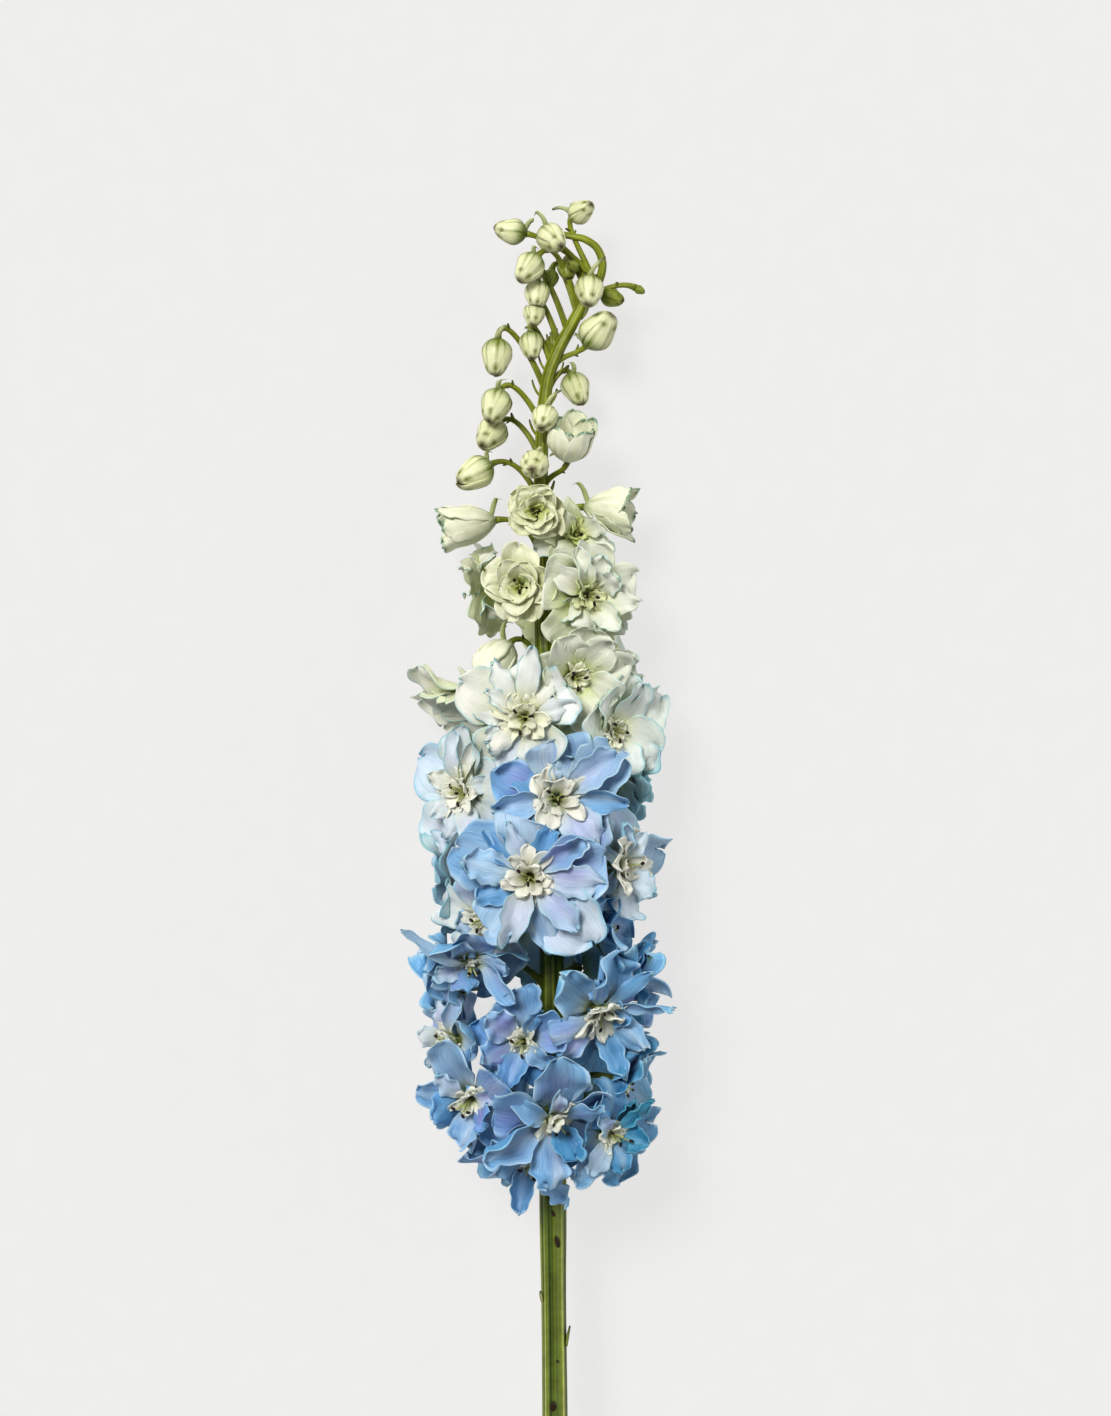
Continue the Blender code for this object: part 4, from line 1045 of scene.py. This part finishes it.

# %% [markdown]
# ## A floret's sepals
#
# A floret has five broad sepals and, in these double kinds, a second and third ring of smaller ones. Rings
# by rule fill the body of the spike. No rule gives the sepals that catch the eye, because each has curled
# or folded its own way, so those are given one by one: a list gives where each tip lies, as seen from the
# camera.

# %% The sepals that are given one by one
# A row: the tip's place from the throat (right, up the spike, to the camera), the width and the arch in
# millimetres, the roll in degrees, the tone, and how much lilac.
HAND_PLACED = {
    "floret_15": (
        (25, 7, -7, 12, 1, 10, 0.84, 0.1), (29, -8, -6, 12, 2, -12, 0.82, 0.1),
        (-19, -8, -6, 12, 2, 20, 0.80, 0.0), (-14, 16, -5, 13, 2, -20, 0.84, 0.0),
        (8, 19, -2, 10, 3, 25, 0.92, 0.0), (-24, 6, -2, 15, 3, 8, 0.70, 0.0),
        (8, -27, -3, 14, 2, -8, 0.70, 0.1), (-7, -22, 0, 15, 4, 12, 0.60, 0.6),
        (17, -19, 1, 13, 3, -14, 0.66, 0.6), (20, 15, 1, 13, 4, 22, 0.74, 0.7),
        (26, -2, 3, 14, 3, 10, 0.66, 0.9), (-8, 20, 4, 8, -2, 50, 0.68, 0.3),
    ),
    "floret_17": (
        (-11, -13, -5, 13, 2, 10, 0.86, 0.0), (7, 15, -5, 12, 2, -8, 0.74, 0.0),
        (-18, 9, -4, 11, 2, 14, 0.84, 0.0), (-22, -4, -2, 14, 3, -12, 0.78, 0.1),
        (25, -2, -1, 12, 3, 10, 0.76, 0.0), (22, 16, 0, 15, 3, -8, 0.70, 0.3),
        (15, -18, 2, 17, 4, 8, 0.64, 0.8), (-1, 11, 3, 6, 2, 30, 0.64, 0.0),
        (-8, -18, -3, 12, 1, 5, 0.80, 0.0),
    ),
    "floret_21": (
        (-18, 2, -5, 10, 2, 15, 0.52, 0.0), (-14, -8, -4, 10, 2, -15, 0.48, 0.0),
        (15, -13, -2, 11, 2, 15, 0.50, 0.1), (-9, -19, -3, 10, 2, 18, 0.55, 0.5),
        (4, -21, 0, 13, 3, -8, 0.49, 0.4), (16, 4, 0, 12, 3, 10, 0.47, 0.2),
        (-12, -12, 1, 9, 3, 20, 0.47, 0.0), (-14, 9, 1, 8, 2, 40, 0.46, 0.0),
        (-11, 20, 1, 10, 3, 25, 0.45, 0.0), (3, 25, 1, 10, 3, -10, 0.46, 0.1),
        (11, 14, -3, 9, 2, -20, 0.44, 0.0),
    ),
    "floret_18": (
        (-14, 6, -4, 9, 2, 20, 0.46, 0.0), (-13, -9, -3, 9, 2, -20, 0.50, 0.0),
        (9, -11, 0, 7, 3, 40, 0.50, 0.3), (-7, -17, -2, 10, 2, 10, 0.54, 0.1),
        (5, -20, 2, 11, 4, -10, 0.52, 0.7), (-4, 20, 0, 10, 3, -15, 0.50, 0.4),
        (7, 21, 0, 9, 3, 20, 0.48, 0.3), (12, 4, -2, 8, 2, 20, 0.50, 0.0),
    ),
    "floret_16": (
        (-3, -25, -3, 9, 2, 15, 0.72, 0.1), (7, -24, 0, 13, 4, -15, 0.62, 0.2),
        (14, -11, -4, 13, 3, 15, 0.56, 0.0), (3, 15, 0, 10, 2, 20, 0.62, 0.0),
        (11, 11, -4, 9, 2, -20, 0.60, 0.0), (-9, -9, 2, 9, 3, -30, 0.68, 0.2),
        (-9, 6, 3, 8, 2, 45, 0.62, 0.0),
    ),
    "floret_08": (
        (9, -24, -8, 10, 2, 0, 0.86, 0.0), (16, -13, -4, 13, 3, 12, 0.82, 0.0),
        (12, -3, -4, 11, 3, 10, 0.88, 0.1), (-15, -18, -1, 10, 5, -25, 0.82, 0.9),
        (0, 11, 1, 10, 3, 20, 0.88, 0.3), (26, 2, 2, 7, 2, 40, 0.78, 0.1),
        (20, 13, 4, 8, -5, -40, 0.76, 0.0), (-26, -8, 5, 11, 6, 40, 0.74, 0.5),
    ),
    "floret_07": (
        (-6, -17, -1, 13, 4, 10, 0.88, 0.2), (-15, -7, 2, 15, 6, -20, 0.88, 0.7),
        (-13, 9, 3, 14, 6, 20, 0.84, 0.9), (6, 12, 2, 6, 4, 60, 0.80, 0.0),
        (9, -8, -3, 9, 2, 0, 0.82, 0.0),
    ),
    "floret_06": (
        (-10, -10, -4, 11, 2, 15, 0.60, 0.0), (-7, 14, -3, 10, 2, -15, 0.58, 0.9),
        (4, 20, 5, 8, 6, 45, 0.72, 0.2), (3, -13, -1, 9, 3, 20, 0.50, 0.0),
        (-14, 1, -5, 9, 2, 0, 0.56, 0.0),
    ),
    "floret_04": (
        (-14, -8, -1, 17, 4, -15, 0.86, 0.0), (6, -10, 2, 13, 5, 20, 0.88, 0.9),
        (11, 3, 1, 8, 2, 0, 0.62, 0.9), (-4, -17, -5, 13, 2, 10, 0.88, 0.1),
        (-12, 9, -4, 10, 2, -10, 0.74, 0.2),
    ),
    "floret_03": (
        (12, 18, 0, 14, 5, 15, 0.82, 0.2), (-25, -13, 1, 18, 6, -15, 0.84, 0.2),
        (0, -27, -2, 16, 6, 12, 0.82, 0.2), (9, -16, -4, 12, 3, -20, 0.96, 0.1),
        (19, 3, -1, 10, 5, 40, 0.92, 0.4), (3, 8, 6, 8, 2, 20, 0.66, 0.9),
        (-13, 6, -1, 11, 4, 15, 0.86, 0.1),
    ),
    "floret_01": (
        (-4, -20, -2, 12, 4, 10, 0.84, 0.1), (-12, -7, -2, 12, 3, -15, 0.86, 0.0),
        (14, -14, -3, 15, 4, 15, 0.90, 0.1),
    ),
    "floret_02": (
        (9, 12, -6, 13, 3, 10, 1.15, 0.0), (14, -4, -3, 12, 3, -15, 1.00, 0.0),
        (5, -14, -3, 12, 3, 10, 0.94, 0.1), (-9, 12, -1, 11, 3, 15, 0.92, 0.3),
        (-8, -14, 0, 11, 4, -15, 0.70, 0.3), (17, 11, 0, 7, -4, 50, 1.20, 0.0),
        (-4, 5, 4, 8, 3, 30, 0.62, 0.7),
    ),
    "floret_11": (
        (-12, -5, -3, 11, 3, 10, 0.62, 0.8), (0, -12, 0, 12, 4, 10, 0.80, 0.4),
        (14, -2, 1, 10, 5, -15, 0.82, 0.2), (17, -14, 3, 13, 8, 12, 0.76, 0.3),
        (-25, 14, 6, 5, 4, 70, 0.72, 0.0),
    ),
    "floret_13": (
        (-11, -3, -2, 11, 3, 10, 0.64, 0.0), (-6, -9, 1, 8, 3, -20, 0.50, 0.0),
        (6, -9, 1, 8, 3, 20, 0.52, 0.6), (2, 9, 0, 9, 3, 0, 0.60, 0.2),
    ),
    "floret_26": (
        (-11, -9, -2, 10, 3, 15, 0.34, 0.0), (2, -15, -2, 15, 3, -10, 0.40, 0.0),
        (12, -13, -3, 12, 3, 12, 0.40, 0.0), (19, -3, -2, 13, 4, -15, 0.36, 0.0),
        (12, 6, 2, 11, 3, 15, 0.34, 0.0), (6, 14, 0, 11, 3, -10, 0.34, 0.0),
        (-4, 14, 2, 11, 3, 20, 0.30, 0.0), (-12, 9, 3, 11, 3, -20, 0.30, 0.0),
    ),
    "floret_28": (
        (-18, -7, -3, 11, 3, 15, 0.40, 0.0), (18, -4, -3, 10, 3, -15, 0.40, 0.0),
        (9, -10, -2, 10, 3, 10, 0.38, 0.0), (-6, -10, -1, 9, 3, -10, 0.36, 0.0),
        (12, 5, 1, 9, 3, 15, 0.34, 0.0), (-7, 7, 1, 9, 3, -20, 0.30, 0.0),
    ),
    "floret_27": (
        (-9, 7, 2, 10, 3, 15, 0.34, 0.0), (-8, -4, 2, 10, 3, -20, 0.42, 0.0),
        (-2, -14, 1, 11, 3, 10, 0.42, 0.0), (6, -12, 0, 9, 3, 20, 0.42, 0.0),
        (4, 14, 0, 9, 3, 0, 0.38, 0.0),
    ),
    "floret_24": (
        (15, -5, 2, 7, 3, 50, 0.34, 0.0), (14, -13, 0, 8, 3, -20, 0.36, 0.0),
        (-4, 5, 3, 10, 3, 15, 0.38, 0.0), (8, 8, 1, 10, 3, -10, 0.36, 0.0),
    ),
}
# what each of these florets' tips has to be raised by, so that the spike is as high as the solid one
TIPS_RISE = {
    "floret_03": 8 * MM,
    "floret_08": 7 * MM,
    "floret_11": 8 * MM,
    "floret_04": 7 * MM,
    "floret_16": 5 * MM,
}
OTHER_TIPS_RISE = 4 * MM
print(sum(len(rows) for rows in HAND_PLACED.values()), "sepals laid by hand")

# %% Rings of sepals
# The outer ring, the second and the third: their share of the size, how much they stand up and how much less
# an unopened floret's lean outwards, both in degrees, and how far above the throat they start.
RING_SIZE = (1.0, 0.86, 0.70)
RING_STANDS = (0, 12, 20)
RING_CLOSES = (25, 38, 60)
RING_HEIGHT = (0.0, 0.6 * MM, 1.2 * MM)
# the rings of these are shorter than the solid florets' size would make them
SHORTER = {"floret_25": 0.74, "floret_29": 0.70, "floret_11": 0.62}


def sepal(bloom, ring, number, count, draw):
    """One sepal of a ring: ring 0 is the outermost. Inner rings are smaller and stand up more."""
    size, stage, inner = bloom.size, bloom.stage, RING_SIZE[ring]
    stands = math.radians(RING_STANDS[ring])
    a, b, c, d, e, f, g, h = draw.uniform(-1, 1, 8)
    wild = 0.5 + 0.9 * min(1.0, bloom.tone / 0.8) ** 2
    return Petal(
        azimuth=0.5 * math.pi + 2 * math.pi * (number + 0.5 * (ring % 2)) / count + 0.2 * a,
        length=size * (0.60 - 0.12 * stage) * inner * (1 + 0.14 * c) * SHORTER.get(bloom.name, 1.0),
        width=size * (0.54 - 0.12 * stage) * inner * (1 + 0.18 * d * stage),
        start=0.05 * size * inner,
        height=RING_HEIGHT[ring],
        root=math.radians(50 + 14 * stage + 8 * g) - 0.6 * stands,
        tip=math.radians(96 - (1 - stage) * RING_CLOSES[ring] + 18 * wild * b * stage) - stands,
        curl=(0.2 + 0.9 * wild * e) * stage + 0.9 * (1 - stage),
        cup=0.30 - 0.22 * stage + 0.22 * wild * f,
        twist=0.16 + 0.35 * wild * h,
        bend=0.2 * e,
        wrap=max(0.0, 0.9 - 1.1 * stage),
        keel=0.10 + 0.10 * g * wild,
        ruffle=0.07 + 0.035 * wild * (1 + b),
        pleat=0.022 + 0.010 * g,
        claw=0.34,
        blunt=2.3 + 0.8 * d + 3.0 * (1 - stage),
        phase=2.5 * c + number,
        waves=1.9 + 0.7 * f,
        scallop=(0.08 + 0.04 * g) * stage,
        teeth=19 + 5 * a,
    )


def hand_placed_sepal(width, roll, draw):
    """The sepal of one row of HAND_PLACED. Chance gives its ruffles, cup and teeth."""
    a, b, c, d, e, f = draw.uniform(-1, 1, 6)
    return Petal(
        width=width * 0.9 * MM,
        twist=math.radians(roll),
        curl=0.8 * a,
        cup=0.15 + 0.65 * b,
        keel=0.10 + 0.16 * d,
        ruffle=0.15 + 0.05 * c,
        pleat=0.030 + 0.012 * d,
        claw=0.30,
        blunt=2.3 + 0.7 * e,
        phase=3 * f,
        waves=2.3 + 0.6 * a,
        scallop=0.14 + 0.06 * e,
        teeth=23 + 7 * d,
    )


sample = sepal(blooms["floret_15"], 0, 0, 5, np.random.default_rng(1))
print("an outer sepal:", round(sample.length / MM), "mm long,", round(sample.width / MM), "mm wide")


# %% All sepals of a floret
# points along and across a sepal that the camera sees, and one that it doesn't
SEPAL_GRID, FAR_SEPAL_GRID = (26, 17), (12, 7)
# the thickness of a sepal's middle, and how much thinner its edge is
SEPAL_THICKNESS, EDGE_THINNER = 0.42 * MM, 0.2 * MM
# Under the listed sepals, the ring starts lower and leans back by these angles in radians, and on
# the lower half of the spike it is slimmer.
ROOT_BACK, TIP_BACK, RING_DROP = 0.15, 0.25, -0.8 * MM
SLIMMER = 0.82
# how much higher the last listed sepal starts than the first
LEVELS = 3.2 * MM


def add_sepals(skin, bloom, draw):
    """All sepals of a floret, thin blades in the floret's room: the rings, then the listed ones."""
    rows, columns = SEPAL_GRID if bloom.is_seen else FAR_SEPAL_GRID
    placed = HAND_PLACED.get(bloom.name, ())
    rings = (5,) if placed else (5, 5, 4) if bloom.stage < 0.7 else (5, 5)
    # a teal painted shade for florets turned to the right, away from the key light, stronger low on the spike
    teal_painted_shade = max(0.0, math.sin(math.radians(bloom.turn))) * (0.45 if bloom.along < -60 else 0.2)
    slimmer = SLIMMER if bloom.along < 0 else 1.0

    def lay(grid, u, v, colours):
        thickness = SEPAL_THICKNESS - EDGE_THINNER * np.abs(v) ** 3
        skin.add_blade(grid, thickness, colours, u, v, bloom=bloom)

    for ring, count in enumerate(rings):
        for number in range(count):
            petal = sepal(bloom, ring, number, count, draw)
            if placed:
                petal.root, petal.tip, petal.height = petal.root + ROOT_BACK, petal.tip + TIP_BACK, RING_DROP
                petal.length, petal.width = (0.5 + 0.5 * slimmer) * petal.length, slimmer * petal.width
            grid, u, v = petal_grid(petal, rows, columns)
            lay(grid, u, v, petal_colours(bloom.tone, u, v, draw, teal_painted_shade))
    for number, (*tip, width, arch, roll, tone, lilac) in enumerate(placed):
        tip = np.array(tip) * MM + [0, 0, TIPS_RISE.get(bloom.name, OTHER_TIPS_RISE)]
        level = LEVELS * number / len(placed)
        arch = (arch - 1.0) * MM + 1.3 * level
        petal = hand_placed_sepal(width, roll, draw)
        grid, u, v = draped_grid(petal, bloom, tip, arch, level, rows, columns)
        lay(grid, u, v, petal_colours(tone, u, v, draw, 0.7 * teal_painted_shade, lilac))


# %% [markdown]
# ## Bees and stamens
#
# In the middle of a delphinium floret sits its bee, a tuft of short petals that guides insects in. It is
# two rings of the same petal formula, small, upright and crinkled. Between them a few threads, the stamens,
# end in dark anthers. They are limbs: a thin tube along a curve, and an egg on its end.

# %% Bees
BEE_PLACES = [-0.10, 0.03, 0.09, 0.131]
BEE_TIP = [(0.96, 0.96, 0.86), (0.97, 0.97, 0.90), (0.95, 0.97, 0.74), (0.82, 0.88, 0.40)]
BEE_FOOT = [(0.80, 0.82, 0.42), (0.76, 0.80, 0.36), (0.52, 0.61, 0.12), (0.34, 0.44, 0.04)]
BEE_THICKNESS = 0.4 * MM
BEE_GRID, FAR_BEE_GRID = (12, 9), (6, 4)
# where a bee leans (right, up the spike), and its size as a share of the usual one
OTHER_BEES = (0.0, 0.0, 0.92)
BEE_LEAN = {
    "floret_03": (0.7, -0.7, 0.95),
    "floret_08": (0.2, -0.6, 1.05),
    "floret_16": (0.5, 0.3, 1.30),
    "floret_07": (0.1, 0.0, 0.72),
    "floret_01": (0.0, -0.3, 0.60),
    "floret_11": (0.5, -0.8, 0.60),
    "floret_04": (0.4, 0.2, 0.80),
    "floret_02": (0.0, 0.0, 0.70),
    "floret_17": (0.0, 0.0, 1.05),
    "floret_25": (0.0, 0.0, 1.35),
    "floret_28": (0.0, 0.0, 1.25),
    "floret_29": (0.0, 0.0, 1.45),
}


def add_bee(skin, bloom, draw):
    """Two rings of short petals that stand up and roll outwards, crinkled and scalloped at their tips."""
    lean_x, lean_y, share = BEE_LEAN.get(bloom.name, OTHER_BEES)
    scale = bloom.size * (0.60 + 0.34 * bloom.stage) * share
    face = unit(bloom.axes[:, 2] + [lean_x, lean_y, 0])
    upward = unit(bloom.axes[:, 1] - (bloom.axes[:, 1] @ face) * face)
    turned = bloom.axes.T @ np.column_stack([np.cross(upward, face), upward, face])
    tip, foot = (blend_stops(bloom.throat[1], BEE_PLACES, colours) for colours in (BEE_TIP, BEE_FOOT))
    rows, columns = BEE_GRID if bloom.is_seen else FAR_BEE_GRID
    rings = ((0, 9), (1, 7)) if bloom.is_seen else ((0, 6),)
    for ring, count in rings:
        for number in range(count):
            a, b, c, d, e, f = draw.uniform(-1, 1, 6)
            petal = Petal(
                azimuth=2 * math.pi * (number + 0.5 * ring) / count + 0.38 * a,
                length=scale * (0.205, 0.17)[ring] * (1 + 0.26 * b),
                width=scale * (0.115, 0.105)[ring] * (1 + 0.2 * c),
                start=scale * (0.045, 0.032)[ring],
                height=0.012 * scale,
                root=0.50 + 0.2 * d - 0.2 * ring,
                tip=1.50 + 0.3 * e - 0.55 * ring,
                curl=0.7 * a,
                cup=0.15 + 0.35 * b,
                twist=0.5 * c,
                bend=0.3 * d,
                ruffle=0.13 + 0.04 * f,
                pleat=0.05,
                claw=0.42,
                blunt=4.5,
                phase=4 * a,
                waves=2.0,
                scallop=0.12 + 0.06 * e,
                teeth=15 + 3 * f,
            )
            grid, u, v = petal_grid(petal, rows, columns)
            tint = mixed(tip, foot, hill(u, 0, 0.28)) * (0.97 + 0.06 * c)
            skin.add_blade(grid @ turned.T, BEE_THICKNESS, np.clip(tint, 0, 1), u, v, 1, bloom)


print(len(BEE_LEAN), "bees are turned and sized by hand")

# %% Stamens
GOLDEN_ANGLE = math.radians(137.5)
ANTHER = np.array([0.035, 0.018, 0.010])
STAMEN = np.array([0.66, 0.70, 0.30])
STAMENS, ANTHERS = 5, 3
STAMEN_RADIUS, ANTHER_RADIUS, ANTHER_LENGTH = 0.28 * MM, 0.55 * MM, 2.0 * MM


def add_stamens(skin, bloom, draw):
    """Thin threads from the throat, some with an anther, a small dark egg, at the end."""
    scale = bloom.size * (0.6 + 0.4 * bloom.stage)
    for number in range(STAMENS):
        a, b, c = draw.uniform(-1, 1, 3)
        azimuth = GOLDEN_ANGLE * number + 0.4 * a
        lean = np.array([math.cos(azimuth), math.sin(azimuth), 0]) * (0.3 + 0.25 * b)
        foot = np.array([0, 0, 0.02 * scale]) + 0.02 * scale * lean
        top = foot + scale * (0.15 + 0.03 * c) * unit(lean + [0, 0, 1.0])
        path = bezier(foot, foot + [0, 0, 0.06 * scale], 0.5 * (foot + top), top, 5)
        skin.add_limb(path, np.full((6, 5), STAMEN_RADIUS), STAMEN, 1, bloom)
        if number < ANTHERS:
            direction = unit(top - path[-2] + 0.4 * lean)
            share = np.linspace(0.02, 0.98, 6)
            anther_line = top + (share * ANTHER_LENGTH)[:, None] * direction
            wide = ANTHER_RADIUS * np.sqrt(1 - (2 * share - 1) ** 2)
            skin.add_limb(anther_line, np.tile(wide[:, None], 7), ANTHER, 2, bloom)


print("a floret has", STAMENS, "stamens,", ANTHERS, "of them with anthers")

# %% Make the florets
# places along the spike where a floret's slot name turns from blue to white and to cream; nothing reads the
# name
CREAM_FROM, WHITE_FROM = 80, 45

for name in FLORETS:
    bloom = blooms[name]
    skin = Skin()
    draw = np.random.default_rng([41, int(name[-2:])])
    add_sepals(skin, bloom, draw)
    add_bee(skin, bloom, draw)
    add_stamens(skin, bloom, draw)
    colour = blend_stops(bloom.tone, TONE_STOPS, LIMB)
    add_spur(skin, bloom, colour, 0.5 * (colour + GREEN_SPOT_AND_THROAT_SHADE))
    slot = "floret_white" if bloom.along > WHITE_FROM else "floret_blue"
    slot = "floret_cream" if bloom.along > CREAM_FROM else slot
    nodes = [name, name + "_bee"] if name in DOUBLE else [name]
    made.append(skin.make(name + "_open", [silk, bee_silk, anther_skin], nodes))
print("pieces so far:", len(made))

# %% [markdown]
# ## Opening buds
#
# Four buds are about to open. They have the same petals as a floret, laid round the axis in place of flat,
# so they overlap like a bell, with a frilled rim.

# %% Make the opening buds
OPENING_WHITE = np.array([0.95, 0.96, 0.80])
OPENING_RIM = np.array([0.22, 0.42, 0.26])
OPENING_SPUR = np.array([0.55, 0.60, 0.30])
OPENING_SPUR_TIP = np.array([0.30, 0.36, 0.12])
OPENING_THICKNESS = 0.38 * MM
OPENING_GRID = (17, 11)
# how the midrib of a petal leans at the base and at the tip of each opening bud
OPENING = {
    "bud_01": (1.20, -1.00),
    "bud_02": (0.88, -0.40),
    "bud_03": (0.85, -0.10),
    "bud_04": (1.20, -0.50),
}


def add_bell(skin, bloom, draw):
    """Two rings of five petals that wrap round the bloom's axis, veined from below and rimmed in green.

    Where they close right over the bud, their tips don't curl outwards.
    """
    root, tip = OPENING[bloom.name]
    for ring, inner in ((0, 1.0), (1, 0.86)):
        for number in range(5):
            a, b, c, d, e = draw.uniform(-1, 1, 5)
            petal = Petal(
                azimuth=2 * math.pi * (number + 0.5 * ring) / 5 + 0.1 * a,
                length=bloom.size * 1.18 * inner * (1 + 0.06 * b),
                width=bloom.size * 0.72 * inner,
                start=0.6 * MM,
                height=0.4 * MM * ring,
                root=root,
                tip=tip + 0.10 * c,
                curl=(0.55 + 0.3 * d) * (tip > -0.8),
                cup=0.0,
                twist=0.10,
                wrap=0.92,
                ruffle=0.055,
                pleat=0.03,
                claw=0.5,
                blunt=3.4,
                scallop=0.09,
                teeth=22,
                phase=3 * e + number,
                waves=2.1,
            )
            grid, u, v = petal_grid(petal, *OPENING_GRID)
            lines = hill(v, -0.55, 0.07) + hill(v, 0, 0.07) + hill(v, 0.55, 0.07)
            vein = 0.5 * lines * (1 - u) ** 0.9 + np.clip(0.95 - 3.4 * u, 0, 1)
            tint = mixed(OPENING_WHITE + 0.04 * c, BUD_GREEN, 0.75 * vein)
            edge = rise(u, 0.95, 1) + 0.6 * rise(np.abs(v), 0.9, 1) * u**3
            skin.add_blade(grid, OPENING_THICKNESS, mixed(tint, OPENING_RIM, 0.75 * edge), u, v, 0, bloom)


for name in OPENING:
    skin = Skin()
    add_bell(skin, blooms[name], np.random.default_rng([43, int(name[-2:])]))
    add_spur(skin, blooms[name], OPENING_SPUR, OPENING_SPUR_TIP)
    made.append(skin.make(name + "_opening", [bud_skin], [name]))
total = sum(len(piece.data.polygons) for piece in made)
print(len(made), "pieces,", total, "triangles, largest", max(len(piece.data.polygons) for piece in made))

# %% [markdown]
# ## Floor, light and camera
#
# A pale floor that glows a little, like a light table under paper, keeps the shadow of the spike faint. One
# broad light comes from the upper left, and a weak one from the right. The sky round it is bright at the
# horizon and dim overhead, like a ring of white boards, so the sides of round things catch light and their
# middles stay deeper. The camera hangs above the spike with a long lens, so that the spike is hardly
# distorted, and its frame is as tall as 1416 of the photograph's pixels.

# %% The floor
FLOOR_SIZE = 6.0
bpy.ops.mesh.primitive_plane_add(size=FLOOR_SIZE)
floor = bpy.context.object
floor.name = "floor"
paper = bpy.data.materials.new("paper floor")
paper.use_nodes = True
shader = paper.node_tree.nodes["Principled BSDF"]
grain = add_node(
    paper.node_tree,
    "ShaderNodeTexNoise",
    Vector=add_node(paper.node_tree, "ShaderNodeTexCoord").outputs["Object"],
    Scale=90.0,
    Detail=3.0,
)
tone = ramp(paper.node_tree, grain.outputs["Fac"], (0.3, 0.095), (0.7, 0.105))
paper.node_tree.links.new(tone, shader.inputs["Base Color"])
shader.inputs["Roughness"].default_value = 0.9
shader.inputs["Specular IOR Level"].default_value = 0.0
shader.inputs["Emission Color"].default_value = (1.0, 0.995, 0.985, 1)
shader.inputs["Emission Strength"].default_value = 0.765
floor.data.materials.append(paper)


# %% Lights
KEY_TILT, KEY_TURN = math.radians(32), math.radians(-42)
KEY_LIGHT = (2.9, math.radians(24), (1.0, 0.985, 0.955))
FILL_LIGHT = (0.65, math.radians(50), (1.0, 1.0, 1.0))


def add_sun(name, strength, width, colour, across, along):
    """A far light as wide as an angle, turned from straight above by two angles about X and Y."""
    light = bpy.data.lights.new(name, "SUN")
    light.energy, light.angle, light.color = strength, width, colour
    lamp = bpy.data.objects.new(name, light)
    bpy.context.scene.collection.objects.link(lamp)
    lamp.rotation_euler = (across, along, 0)


add_sun("key light", *KEY_LIGHT, -KEY_TILT * math.cos(KEY_TURN), KEY_TILT * math.sin(KEY_TURN))
add_sun("fill light", *FILL_LIGHT, math.radians(-12), math.radians(60))
world = bpy.data.worlds.new("studio")
bpy.context.scene.world = world
world.use_nodes = True
sky = world.node_tree
direction = add_node(sky, "ShaderNodeTexCoord").outputs["Generated"]
height = add_node(sky, "ShaderNodeSeparateXYZ", Vector=direction).outputs["Z"]
glow = ramp(sky, height, (0.0, 0.88), (0.75, 0.19))
sky.links.new(glow, sky.nodes["Background"].inputs["Color"])
sky.nodes["Background"].inputs["Strength"].default_value = 1.0
bpy.context.scene.view_settings.view_transform = "Standard"
bpy.context.scene.view_settings.look = "None"
bpy.context.scene.view_settings.gamma = 0.84

# %% The camera
PHOTO_PIXELS = (1111, 1416)
PIXEL = 0.35 * MM
VIEW_CENTRE = (5.8 * MM, 62.1 * MM)
FOCUS_HEIGHT = 35 * MM
LENS = 120.0
camera_data = bpy.data.cameras.new("camera")
camera = bpy.data.objects.new("camera", camera_data)
bpy.context.scene.collection.objects.link(camera)
bpy.context.scene.camera = camera
camera_data.lens = LENS
camera_data.sensor_width = 36.0
view_height = PHOTO_PIXELS[1] * PIXEL
distance = view_height * LENS / camera_data.sensor_width
camera.location = (*VIEW_CENTRE, FOCUS_HEIGHT + distance)
camera.rotation_euler = (0, 0, 0)
camera_data.clip_end = 20.0
print("camera", round(distance, 2), "m above the spike")
